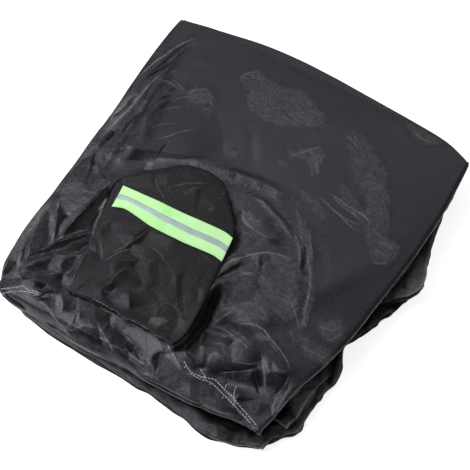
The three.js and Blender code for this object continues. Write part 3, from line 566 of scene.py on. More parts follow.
CRUMPLED = [
    (16, (-186, 221), (-158, 191), (-134, 148), (-145, 106), (-150, 57), (-173, 23), (-177, -6), (-152, -27), (-130, -85), (-113, -117), (-123, -163), (-190, -199), (-209, -157), (-215, -94), (-217, -23), (-219, 61), (-222, 162), (-215, 220)),
    (10, (-194, -194), (-134, -161), (-82, -155), (-8, -146), (22, -163), (81, -174), (149, -205), (101, -210), (24, -213), (-98, -221), (-159, -215)),
]
RUMPLED = [
    (14, (-102, 53), (-5, 69), (46, 68), (100, 7), (143, -84), (161, -145), (157, -190), (127, -199), (20, -164), (21, -99), (17, -55), (-10, 14), (-54, 44)),
]
# patches of fine wrinkles, given small creases, rougher cloth and a painted sheen: how soft, corners
HAZE = [
    (6.4, (-95, 184), (-37, 213), (-3, 196), (9, 170), (-16, 152), (-50, 143), (-80, 156)),
    (6.4, (42, 184), (67, 189), (109, 161), (137, 121), (162, 72), (156, 42), (128, 74), (110, 110), (76, 138)),
    (4, (-147, 137), (-122, 147), (-114, 134), (-136, 123)),
    (4, (-68, 88), (-54, 95), (-49, 87), (-61, 80)),
    (4, (-7, 108), (5, 112), (10, 102), (2, 98)),
    (6.4, (-101, 54), (-55, 75), (-32, 45), (-55, 47), (-82, 47)),
    (4.8, (83, -101), (102, -97), (126, -108), (124, -121), (102, -118)),
    (4.8, (-46, -170), (-14, -157), (12, -168), (21, -191), (-9, -185), (-32, -182)),
    (4.8, (44, 62), (77, 42), (98, 6), (89, -1), (63, 31)),
    (4.8, (-219, 73), (-202, 109), (-184, 106), (-192, 49), (-210, 43)),
    (6.4, (20, -76), (87, -2), (112, -45), (90, -91), (55, -102)),
    (6, (-111, 189), (-97, 209), (-73, 205), (-31, 201), (8, 195), (25, 176), (4, 164), (-58, 176), (-89, 172)),
    (6, (-155, 138), (-130, 154), (-116, 147), (-120, 130), (-141, 117)),
    (4, (-2, 124), (29, 149), (40, 139), (46, 110), (40, 103), (25, 124), (5, 115)),
    (4, (140, 66), (165, 83), (176, 72), (175, 50), (157, 40)),
    (6, (142, -56), (161, -37), (175, -48), (171, -68), (156, -72)),
    (6, (120, -81), (138, -81), (169, -78), (179, -82), (176, -99), (151, -99)),
    (4, (81, -62), (100, -47), (119, -62), (112, -75), (91, -75)),
    (6, (68, 123), (98, 109), (130, 88), (123, 77), (91, 92)),
    (6, (31, 85), (56, 84), (84, 72), (86, 60), (55, 67)),
    (4, (79, -7), (88, -4), (112, -45), (119, -65), (102, -51)),
    (4, (-215, -95), (-212, -68), (-198, -83), (-193, -115), (-197, -144), (-197, -161), (-211, -150)),
    (4, (-219, 43), (-222, 115), (-224, 139), (-223, 123), (-219, 73), (-218, 23), (-218, 0)),
    (4, (94, 237), (119, 238), (154, 231), (137, 218), (113, 218)),
    (4, (63, 40), (71, 44), (92, 21), (125, -36), (135, -71), (130, -75), (113, -29), (85, 15)),
]

# flat facets of the crumpled cloth: slopes along x and s, then corners
FACETS = [
    (-0.25, 0.3, (-178.1, 98.2), (-146.6, 127), (-103.7, 126.6), (-66.4, 88.3), (-98.1, 58.8), (-139.1, 45.9), (-166.8, 60.8)),
    (0.1, 0, (-165.9, -194.6), (-153.8, -191.6), (-143.7, -189.8), (-128.1, -192.5), (-110.8, -198.4), (-96.4, -204.2), (-105.5, -211.3), (-119.4, -212.1), (-133.7, -210), (-151, -207.6), (-163.6, -202.4)),
    (-0.6, -0.6, (-191.3, -202.4), (-179.9, -201.1), (-163.6, -202.4), (-152.4, -208.5), (-170.2, -206.3)),
    (-0.8, 0.35, (-155.8, -188.7), (-143.5, -185.2), (-131.2, -179.2), (-126.6, -190.6), (-111.7, -196.3), (-98.4, -202.7), (-117.3, -193.9), (-134.4, -189.3), (-144.4, -188.9)),
    (-0.55, 0, (-130.9, -181.7), (-127.7, -178.4), (-119.9, -192.4), (-125.5, -190.1)),
    (-0.8, 0.25, (-124.9, -168.5), (-114.2, -163.8), (-105.3, -164.8), (-95.7, -177.3), (-103.9, -183.7), (-111.7, -185.9)),
    (0.05, 0.05, (-112, -187.4), (-103.1, -184.8), (-97.6, -180.7), (-88, -197.9), (-95.6, -202.7), (-104.1, -195.3)),
    (-0.85, 0.05, (-104.3, -164.2), (-95.2, -155.9), (-81.7, -159.8), (-66.5, -183.2), (-77, -183.3), (-89.1, -185.1), (-95.7, -177.3)),
    (0.6, 0.2, (-92, -189.1), (-78.9, -184.5), (-70.6, -184.9), (-64.8, -183.6), (-72.9, -189.8), (-82.5, -195.2)),
    (-0.6, -0.6, (-97.5, -204.7), (-83.6, -198.4), (-79.2, -192.2), (-64.2, -184.6), (-57.7, -194.2), (-49.6, -205.1), (-53.8, -214), (-65.6, -213), (-83.2, -210.5)),
    (-0.45, -0.7, (-133.7, -211.6), (-116, -213.9), (-95.5, -212.9), (-75.6, -213.2), (-62.8, -214.4), (-50.1, -216.6), (-55.8, -214.4), (-71.3, -210.2), (-91, -207.9), (-113.5, -209.4)),
    (0.05, -0.3, (-61.5, -184.7), (-53.3, -189.6), (-41.7, -196.9), (-43.6, -205), (-49.1, -206.1), (-54.3, -193)),
    (-0.3, -0.7, (-53.4, -214.9), (-49.1, -206.1), (-42.4, -199.5), (-36.6, -204.1), (-35.2, -217.8), (-45, -216.7)),
    (-0.8, 0.3, (-61, -183.2), (-61.3, -171), (-51.7, -177), (-43.1, -177.8), (-38.1, -177.5), (-25.9, -180), (-13.8, -184.5), (-1.7, -191), (-11.1, -192.7), (-21.9, -190.7), (-32.2, -191.5), (-41.4, -193.7), (-52.2, -189)),
    (-0.85, 0.2, (-84.7, -161.4), (-63.9, -162.4), (-54, -173.8), (-60, -172.9), (-62.8, -182.6), (-74.3, -175.5)),
    (0.5, 0.45, (-41.2, -174.9), (-36.7, -167.6), (-26.3, -162.7), (-18, -161.1), (-7.3, -176), (1, -187), (-8.4, -182.6), (-18.7, -177.1), (-29.5, -174.7)),
    (0.65, 0.3, (-17, -160.6), (-9.9, -159.4), (-0, -162.4), (6.3, -167.2), (13.4, -171.5), (6.2, -177.1), (3.3, -183.6), (5.5, -191.6), (-3.5, -179.9)),
    (0.4, -0.05, (3.2, -165), (13.4, -171.5), (27, -179.3), (46.8, -185.4), (35, -176), (15.9, -165.8), (3.1, -159.1)),
    (0.1, -0.05, (1.8, -153), (13.4, -158.8), (30.8, -169.2), (41.7, -177.1), (33.9, -174.1), (15.2, -164.9)),
    (-0.75, 0.05, (-45.3, -154), (-29.5, -153.7), (-17.1, -152.4), (-5.4, -154.2), (1.8, -153), (-0.7, -161.3), (-11.8, -160.5), (-24.3, -161.7), (-36.7, -167.6), (-47.8, -162.3)),
    (-0.3, 0, (-38.5, -198), (-28.4, -193.1), (-19.6, -194), (-8.3, -194.9), (6.3, -196.8), (10.4, -190.3), (16, -199.5), (3.8, -204.7), (-18.5, -209.8), (-36.6, -209.8)),
    (0.4, 0.05, (-21.7, -193), (-15.8, -189.5), (-2, -192.6), (-6.9, -197.1), (-15.4, -197.3)),
    (-0.85, 0.1, (5, -181.5), (11.5, -174.6), (17.7, -185.4), (18.7, -195.6), (12.7, -194.1)),
    (-0.65, 0.3, (13.2, -177.5), (29.5, -179.3), (49.6, -183.9), (66.2, -181.6), (76.3, -197.6), (52.2, -200.1), (27.2, -201), (14.8, -197.7), (15.4, -188.1)),
    (-0.85, -0.05, (-24.3, -216), (4.4, -205.6), (28.4, -203), (53.6, -202.1), (78.5, -201.2), (82.1, -210.1), (57.4, -209.1), (32.4, -211.2), (5.4, -212.5), (-24.1, -222.6)),
    (-0.4, -0.05, (-61.3, -166.9), (-52, -166.5), (-45, -169.2), (-45.6, -176.2), (-52.2, -174.4)),
    (0.1, -0.05, (-206.5, -75.5), (-200.5, -67.7), (-190.7, -83.1), (-181.4, -101.6), (-171.9, -119.2), (-175.5, -120.4), (-186, -107.1), (-197.9, -91.2)),
    (-0.6, 0.6, (-196.7, -70.9), (-186.7, -77.1), (-178.4, -79.5), (-177.4, -93.5), (-173.3, -111.5), (-171.9, -119.2), (-181.4, -101.6), (-190.7, -83.1)),
    (-0.7, 0.45, (-206.7, -84.7), (-197, -90.5), (-184.5, -109.2), (-174.7, -121.5), (-178.8, -135.8), (-185.9, -149.4), (-192.4, -135), (-198.3, -113.6), (-203.2, -96.9)),
    (0.2, 0.3, (-202.5, -52.5), (-190.2, -40.5), (-172.8, -40), (-163.1, -39.7), (-164.5, -56.3), (-171.7, -72.2), (-178.4, -79.5), (-189.5, -77.1), (-198.5, -66.5), (-202.5, -56.9)),
    (0.25, 0, (-179.9, -73.1), (-168.2, -68.2), (-167.6, -85.9), (-167.7, -104.7), (-172, -109.2), (-178.6, -95.8)),
    (-0.65, 0.5, (-162.7, -44.3), (-155.8, -24.2), (-147.9, -32.6), (-150.1, -46.6), (-148.8, -63.8), (-143.7, -82), (-153, -88.8), (-164.1, -103.9), (-167.7, -104.7), (-167.6, -85.9), (-166.4, -70.6), (-163.2, -54)),
    (-0.05, 0.65, (-149.9, -42.4), (-146.1, -39.5), (-144.5, -61.1), (-140.3, -78.2), (-141.3, -83.1), (-148.3, -64.7)),
    (-0.8, 0.25, (-164.9, -113.9), (-153.7, -99.9), (-140.4, -86.2), (-138, -87.7), (-146.2, -102.1), (-156.5, -117.1), (-168.6, -130.2), (-180, -142.2), (-184.1, -148.1), (-175.9, -129.9)),
    (-0.8, 0.3, (-139.4, -85.6), (-133, -90.6), (-135.3, -98.6), (-139, -109.6), (-138.7, -114.1), (-151.1, -123.8), (-161.6, -128.8), (-166.3, -134.1), (-174.9, -141.3), (-168.6, -130.2), (-156.5, -117.1), (-146.2, -102.1)),
    (-0.75, 0.4, (-179.8, -164.8), (-173.2, -154.1), (-165.3, -142.1), (-160.7, -133.7), (-160.8, -141.5), (-160.7, -151.1), (-152.3, -153.1), (-172.5, -163.5)),
    (-0.2, 0.05, (-161.6, -128.8), (-137.6, -115.5), (-138.7, -121.5), (-148.7, -126.6), (-150, -136.6), (-148.7, -144.6), (-154.5, -148), (-157.9, -137.3)),
    (-0.65, 0.55, (-147.6, -127.9), (-137.7, -119.1), (-134.4, -132.1), (-132.7, -142.8), (-141.3, -145.8), (-148.5, -138.8)),
    (-0.75, 0.4, (-182.8, -168.6), (-151.3, -154.3), (-138.2, -146.5), (-133.1, -158), (-131.9, -166.9), (-148.2, -167.2), (-165, -171.3), (-175.3, -176.3)),
    (-0.7, 0.5, (-163.8, -172.6), (-148.2, -167.2), (-144.6, -176.6), (-157.2, -179)),
    (-0.15, 0.1, (-199.1, -186), (-188.9, -180.5), (-178.3, -175.5), (-171.4, -182.4), (-182.4, -190.5), (-192.6, -196.2)),
    (-0.1, -0.1, (-189.4, -166.2), (-191.5, -158.9), (-185.2, -167.7), (-186.3, -176.3), (-188.6, -183.1), (-191.4, -177.3)),
    (-0.85, 0.2, (-202.9, -159.9), (-194.6, -160.5), (-190.6, -166.6), (-194.1, -173.8), (-196.7, -181.5), (-200, -178.3), (-201.3, -169.7)),
    (-0.5, 0.15, (-200.7, -122.4), (-198.3, -119.7), (-192.4, -135), (-188.8, -151.1), (-190.6, -158.4), (-196.6, -144.9), (-199.5, -132.2)),
    (0.3, -0.15, (-207.5, -74.2), (-210.5, -58.3), (-206.6, -51), (-198.5, -66.5)),
    (0.2, -0.2, (-209.1, -51.8), (-211.3, -36.3), (-210.3, -19.2), (-209.4, -5.7), (-204.2, 4), (-200.8, 8), (-197, -1.9), (-193.1, -16.1), (-188.5, -31.1), (-196, -40.1), (-205.7, -47.8)),
    (-0.55, 0.65, (-202.1, 12.2), (-195.6, 4.2), (-191.3, -4.5), (-188.9, -16.4), (-184.2, -31.5), (-183.3, -34.8), (-190.5, -18), (-196.4, -4.8)),
    (0.2, 0.45, (-189.5, -5.1), (-181.2, -8.7), (-178.3, -18.4), (-176.1, -31.5), (-178.1, -41.8), (-183.1, -51.7), (-194, -52.1), (-198.5, -45.2), (-189.6, -37.2), (-182.4, -34.1), (-187.2, -16.9)),
    (0, 0.5, (-179, -11.4), (-166.2, -20.5), (-157.8, -17.1), (-157.6, -25.4), (-160.7, -36.9), (-162.7, -44.3), (-173.7, -43.3), (-173.8, -32.2), (-174.7, -20.7)),
    (0.05, 0.25, (-204.7, 18.7), (-187.5, 20.9), (-169, 13.7), (-163.9, 13.4), (-137.2, 31.7), (-135.7, 20.4), (-131.6, 8.5), (-154.4, -6), (-164.5, -15.4), (-180.1, -8), (-191.5, 2.1)),
    (-0.6, 0.35, (-199.5, 44.9), (-195, 45.5), (-195.4, 29.3), (-197.3, 19.6), (-201.2, 12.8), (-202.5, 22.2), (-202.4, 33.1)),
    (-0.2, 0.5, (-187.6, 214.5), (-194.7, 191), (-198.3, 173.3), (-201.9, 156.2), (-204.4, 137.6), (-208.7, 126.7), (-211.5, 129), (-207.4, 140.6), (-204.9, 158.6), (-202.2, 177), (-198, 193.9), (-191.2, 206.6)),
    (0.35, 0.8, (-201.5, 130.5), (-198.5, 118.4), (-197.2, 107), (-197.5, 94.3), (-197.8, 81.8), (-199.1, 63.3), (-202.3, 49.2), (-205.9, 43.5), (-207.8, 56.7), (-204, 73.4), (-202, 87.6), (-200.7, 100.4), (-200.5, 113.1)),
    (-0.75, 0.35, (-202, 102.7), (-202.7, 88.8), (-205.7, 71.5), (-207.9, 61.4), (-209.1, 63.8), (-205.5, 80.6), (-204, 95.8)),
    (-0.4, -0.55, (-156, 132.7), (-165.2, 123.9), (-171.2, 107.4), (-175.4, 93.8), (-181.8, 80.9), (-187.8, 65.2), (-189.1, 49.1), (-192.1, 61.6), (-186.8, 82.9), (-179.1, 99.7), (-170.9, 117.5)),
    (-0.35, 0.6, (-162.3, 114.8), (-164.4, 95.6), (-166.3, 77.2), (-168, 58.5), (-167.4, 47), (-169.7, 74.9), (-168.6, 98.6)),
    (0.2, 0.4, (-151.5, 134.7), (-137.5, 144.5), (-116.8, 145.5), (-113.9, 134), (-126.5, 126.9), (-137.9, 117.8), (-152.5, 113.7), (-161.9, 109.6), (-158.8, 120.9)),
    (0.25, 0.6, (-135, 32.8), (-129.5, 37.7), (-83.7, 58.2), (-83.3, 48.8), (-99.7, 39.3), (-118.7, 25.1), (-125.5, 20.2)),
    (0.45, 0.7, (-138.2, 26.7), (-133.8, 33.1), (-125.5, 20.2), (-134.2, 16.1)),
    (-0.45, 0.25, (-171.2, 25.7), (-143.6, 42.3), (-134.7, 45.6), (-135, 32.8), (-165.7, 12.3)),
    (0, 0.35, (-175.8, 28.2), (-162.6, 33.2), (-161.4, 29.1), (-170.1, 24.2)),
    (-0.5, 0.65, (4.2, -11.2), (4.9, 3), (14.2, -10.2), (17.9, -22.8), (14.4, -34.6), (12.1, -52.3), (11.2, -68), (10.2, -53.5), (10.6, -41.1), (7.8, -21.4)),
    (0.3, 0.8, (11.9, -69.1), (13.7, -59.2), (15.9, -49.9), (19.4, -38.2), (25.1, -30.3), (26.5, -32.5), (20.2, -44), (16.2, -54.6), (14.3, -66.5)),
    (-0.3, 0.8, (14.4, -70.9), (18, -61.9), (22.5, -52.2), (26.5, -41.4), (28.1, -33), (31.7, -39), (26.5, -50), (22.6, -60.9), (18.7, -71.6), (14.9, -78.1)),
    (0.2, 0.8, (15.3, -91.4), (16.5, -85), (19.2, -74.7), (22.1, -64.6), (27.3, -55.7), (26.2, -62.9), (22.6, -74.3), (19.4, -85.6), (18.8, -92.9)),
    (-0.45, 0.7, (23.2, -68.7), (30.5, -79.1), (34.4, -88.8), (37.6, -99.5), (40.1, -112.1), (41.7, -125.5), (42.3, -142.9), (36.9, -161), (23.4, -169.3), (22.3, -152), (20.3, -128.3), (16.6, -110.2), (15.9, -98.6), (16.6, -89.3), (19.4, -81.3)),
    (0.25, 0.25, (22.8, -65.8), (29.1, -54.3), (36.7, -45), (46.9, -40.5), (49.8, -50.2), (36.3, -57.1), (26.8, -64.1)),
    (0.1, -0.15, (27.4, -31.8), (40.5, -21), (48.2, -29.9), (52.8, -33.1), (44.9, -41.4), (34.4, -43.3)),
    (-0.3, 0.35, (43.3, -21.3), (46, -16.9), (50.7, -22.6), (51.3, -30.7), (47, -27.7)),
    (0.25, 0.3, (53.1, -10.9), (67.4, -6.6), (83.5, -5.1), (79.7, -12), (66.4, -15.8), (57.4, -15.8)),
    (0.5, 0.3, (52, -27.2), (59.8, -17.7), (79.2, -15.6), (88.5, -18.3), (99.8, -30.5), (101, -48.3), (90.9, -57.1), (76.7, -59.1), (59.8, -53.7), (56.2, -34)),
    (-0.3, 0.2, (26.3, -67.8), (40.2, -54.8), (52.5, -54.8), (48.1, -64.8), (46.9, -83.6), (41.4, -91.3)),
    (0.2, 0.6, (39.5, -92.6), (48.7, -88.2), (60.5, -88.4), (47, -92.4), (41.4, -99.7), (39.9, -105.4), (32.8, -96.3)),
    (0.05, 0.5, (56, -89.8), (68.2, -88.1), (77.8, -95.8), (68.8, -102.4), (61, -106.8), (58.5, -98.6)),
    (-0.2, -0.25, (47.9, -106.4), (54.2, -95.9), (61.6, -90.4), (61.9, -99.8), (61, -108.9), (53.8, -115.9), (48.2, -119.2)),
    (0.15, 0.05, (40.6, 43.8), (54.9, 53.5), (70.4, 44.9), (82, 20.2), (86.1, -0.5), (91.6, -12.2), (78.7, 3.3), (63.2, 21), (45, 33.9)),
    (-0.75, 0.4, (79.9, 17), (82.6, 19), (90.1, 6.3), (96.1, -8.6), (90.8, -6.4), (84.1, 7.4)),
    (0.25, 0.15, (-4.8, 18.9), (4.2, 26.3), (18.1, 21.1), (36.5, 16.9), (48.6, 12.2), (38.7, 8.9), (24, 6.7), (9.5, 8.6), (0.2, 12.9)),
    (-0.4, 0.35, (19.2, 28), (33.7, 30.6), (53.2, 20), (63.8, 6.7), (46.1, 0.9), (27.9, -2.1), (11.8, 0.4), (20.1, 4.4), (40, 6.5), (49.3, 11)),
    (-0.6, 0.55, (-19.2, 16), (-7.9, 19.7), (7.3, 1.2), (4.1, -4.5), (-7.7, 3.8)),
    (-0.05, -0.2, (63.9, -111.2), (81.8, -102.3), (90.3, -103.5), (96.8, -101), (93.3, -113.3), (92.3, -119.9), (84.1, -118.9), (72, -115.9)),
    (-0.3, -0.8, (92.7, -110.2), (96.8, -101), (104.7, -101), (110, -106.2), (102.8, -112.4), (96.5, -114.5)),
    (0.15, 0, (96.5, -114.5), (110.7, -107.8), (126.1, -112.9), (138.7, -119.9), (148.3, -127.6), (145.4, -133.2), (137.3, -135.9), (126.1, -134), (116.5, -126), (106.2, -121.6)),
    (0.3, 0.2, (114.5, -131.2), (119.3, -128.7), (124.1, -132.7), (123.4, -138), (118.4, -138.2)),
    (0.2, 0.45, (125, -128.1), (129.7, -129.7), (137.3, -132), (134.8, -135.9), (129.7, -135.8)),
    (-0.4, 0.4, (129, -138.8), (139.7, -135.8), (148.5, -131.7), (151.4, -146.3), (148.2, -155.9), (146.2, -165), (138, -161.4), (131.2, -151.7), (128.6, -142.3)),
    (-0.3, -0.05, (120.6, -141.9), (125.5, -141.6), (131.7, -152.5), (137.9, -166.8), (130.5, -160.4), (124.5, -150.7)),
    (-0.5, 0, (110.1, -149.3), (115.6, -142.2), (120.6, -141.9), (126.4, -153.8), (129.5, -160.9), (115.8, -154.5), (111.4, -153.5)),
    (-0.1, 0.1, (73.4, -168.1), (85.1, -160.4), (99.1, -152.2), (111.5, -147.6), (112.8, -155.8), (120.1, -165.8), (117.4, -173.7), (110.1, -178.3), (95.2, -170.6), (83, -167.4)),
    (-0.8, -0.25, (66.1, -168.6), (84.1, -158.9), (98.2, -150.6), (113.2, -142.4), (117.6, -141.1), (109.5, -148.5), (95.1, -155.9), (76.2, -166.6)),
    (-0.65, 0.15, (87.5, -149.1), (101.3, -145), (114, -139.5), (113.2, -142.4), (98.2, -150.6), (74.3, -163.5), (66.6, -165.2), (60.2, -153.9), (64.2, -146), (74, -147.5), (85.6, -150)),
    (0.3, -0.15, (39.5, -117.4), (56.1, -119.7), (74.8, -120.4), (85.5, -121.2), (84.1, -127.2), (74.1, -127.8), (61, -127.1), (46.5, -124.7)),
    (-0.85, 0, (41.4, -129.1), (59.6, -128.9), (77.1, -128.7), (77.5, -137.5), (69, -136.3), (55.6, -142.9), (45.5, -147.7)),
    (-0.6, -0.2, (73.8, -131.6), (91.7, -129.5), (108.6, -125.4), (115.1, -132.2), (106, -142.7), (92.1, -148.1), (79.8, -144.8)),
    (-0.65, 0.25, (27.2, -139), (38.4, -136.9), (41.4, -129.1), (45.5, -147.7), (64.5, -166.2), (53.9, -171.7), (35.6, -162.9)),
    (-0.8, 0.25, (111.9, -173), (123.6, -171.4), (134.5, -168.9), (130.5, -172.5), (118.9, -180.5), (112.5, -182.2)),
    (-0.35, 0.2, (117.1, -181.7), (129.9, -171.6), (136.8, -168.9), (148.8, -176.7), (139, -184.7), (128, -183.1)),
    (0.05, -0.05, (146.2, -165), (148.2, -155.9), (150.8, -142.9), (150.1, -130.2), (154.4, -136.4), (157.7, -152.4), (156.6, -168.3), (153.8, -176.7)),
    (-0.5, 0.1, (137.4, -169.9), (147, -170), (153.8, -176.7), (145.6, -183.5), (139, -184.7)),
    (0.55, 0.15, (150.1, -130.2), (163.1, -134), (162, -152.3), (159.2, -168.3), (154.5, -177.7), (154.9, -161.3), (155.3, -143.7)),
    (-0.85, 0, (57.4, -187.7), (69, -185.8), (84.4, -181.8), (101.6, -185.2), (118.1, -191.6), (117.8, -199.8), (97.3, -201.1), (79.5, -203.2), (67, -203)),
    (-0.8, 0.25, (107.7, -191.1), (117, -189.8), (129.2, -195.3), (137.4, -199.1), (127.6, -199.5), (117.8, -199.8), (111.7, -197.7)),
    (-0.65, -0.25, (49, -144.6), (77.6, -133.7), (87.5, -149.1), (74.6, -148.4), (64.9, -147), (60.7, -154.9), (62.6, -162.8), (58.8, -164.7)),
    (0, -0.05, (33.5, -52.8), (48, -42.6), (67.2, -52.1), (64, -73.2), (56, -81.2), (46.9, -83.6), (49.1, -61.8)),
    (0, -0.1, (77.9, -70.2), (88.9, -58), (104.8, -63.4), (119.3, -75.1), (109, -83.7), (93.5, -83.4)),
    (-0.75, 0.4, (-96, 46.9), (-77, 47.6), (-56.1, 47.1), (-37.9, 42), (-19.5, 27.5), (-2.2, 8), (12.3, -11.4), (7, -15.8), (-7.7, 3.8), (-23.8, 21.3), (-40.7, 35.5), (-57.4, 40.3), (-77.5, 41.6), (-96.1, 42.5)),
]

POCKET_FACETS = [
    (0.2, 0.25, (-129.6, -91.3), (-122.3, -85.8), (-109.7, -75.8), (-95.5, -72.5), (-87.3, -72.5), (-90.1, -84.7), (-97.1, -94.7), (-102.2, -103.5), (-104.5, -112.2), (-109.2, -113.3), (-117.1, -105.7), (-126.5, -95.8)),
    (0.3, 0.5, (-131.4, -108.9), (-129.6, -103.5), (-124.6, -100.7), (-118.3, -107.9), (-125.1, -110.1)),
    (-0.55, 0.4, (-86.7, -56.7), (-78.6, -56.7), (-80.5, -74.7), (-86.4, -84.2), (-90.7, -88.1), (-88.9, -76.4)),
    (0.35, 0.45, (-87.6, -80.3), (-83, -79.2), (-75.1, -74.7), (-74, -68), (-73.7, -60.1), (-69.5, -56.1), (-59.4, -55), (-46.4, -52.1), (-48.2, -57.7), (-52, -64.5), (-59.1, -70.1), (-65, -73.5), (-68, -81.3), (-68.4, -89), (-72.8, -94.6), (-80.4, -91.3), (-85.3, -88)),
    (-0.65, 0.25, (-90, -117.6), (-84.5, -105.6), (-74.6, -100.1), (-68.2, -93.4), (-69.8, -103.3), (-76.8, -113.1), (-83.8, -122.9)),
    (-0.5, 0.2, (-132.7, -123.1), (-116.1, -111.2), (-106.3, -117.7), (-93.4, -116.5), (-84.9, -129.3), (-101.9, -144.3), (-120.1, -145.5)),
    (-0.8, 0.25, (-80.8, -131.4), (-77.2, -120.7), (-74.5, -110.4), (-66.9, -107.6), (-55.4, -112.9), (-46.5, -122.4), (-58.8, -132.1), (-75.9, -138.7)),
    (0.2, 0.2, (-68.6, -151.6), (-63.1, -145.8), (-60.3, -140), (-55, -139.9), (-49.9, -145.6), (-43.5, -153.2), (-51, -155.9), (-60.2, -158.1)),
    (-0.7, 0.05, (-86.4, -147.2), (-83.2, -139.8), (-78.7, -134.5), (-73.5, -140.2), (-75.6, -151.2), (-77.5, -156.4)),
    (-0.75, 0.15, (-58.8, -132.1), (-40.1, -115.9), (-20.6, -125.2), (-17.9, -129.3), (-36.1, -142.2), (-44.6, -149.6)),
    (-0.3, 0.1, (-39.8, -114.3), (-14.2, -104.4), (-4.9, -116.6), (-6.1, -122.9), (-17.6, -127.8)),
    (-0.05, 0, (-15.6, -85.8), (-11.4, -81.9), (6.9, -110.4), (23.5, -132), (17.2, -130.1), (2, -113)),
    (-0.7, 0.4, (-22.4, -89.7), (-16.6, -86.3), (1, -113.5), (13.9, -129), (7.2, -127), (-4.9, -116.6)),
    (-0.1, -0.05, (-10.4, -75.2), (2.7, -70.7), (9.9, -90.7), (9.9, -102.9), (2.7, -97.9)),
    (0.05, 0.5, (8.7, -92.9), (11.4, -86.8), (15.5, -93.5), (17.6, -103), (14.2, -103.5)),
    (0.55, -0.65, (-19.7, -147), (-2.4, -143.1), (-3.4, -155.9), (-17.7, -154.2)),
    (0, 0.4, (7.9, -132.1), (19.7, -134.1), (18, -152.3), (17.1, -159), (11.6, -146.4)),
    (-0.65, 0.1, (-19.9, -130.4), (-5.4, -124), (5.2, -128.1), (9.8, -139.3), (1.9, -143.5), (-13.8, -143.8)),
    (0.2, 0.3, (-115, 14.4), (-103, 19.5), (-98.2, 7.7), (-106.4, 3.1)),
    (0.15, 0.2, (-150, -7.7), (-122.9, 11.7), (-110.9, -2.6), (-121.6, -11.7), (-141.2, -15.9)),
    (-0.55, 0.6, (-64.9, 15.6), (-59.6, 20.2), (-48.9, 1), (-52.9, -1.3)),
    (-0.05, 0, (-94, 5.3), (-78.6, 15.7), (-56, 31.9), (-63.6, 17.9), (-73.4, 7.5), (-88.2, 0.6)),
    (-0.7, 0.25, (-137.6, -77.2), (-126, -67.8), (-116.5, -78), (-126.3, -88)),
    (0.45, 0.7, (-133.4, -73.3), (-128.1, -62.7), (-126, -67.8), (-130.6, -73.4)),
    (-0.55, 0.3, (-56.9, -90), (-49.1, -85.5), (-31, -109.3), (-39.5, -112.7), (-51.8, -102)),
    (-0.3, 0.15, (-47.2, -84.4), (-36.5, -84.3), (-22.8, -97.4), (-22.5, -106), (-30, -108.8)),
]

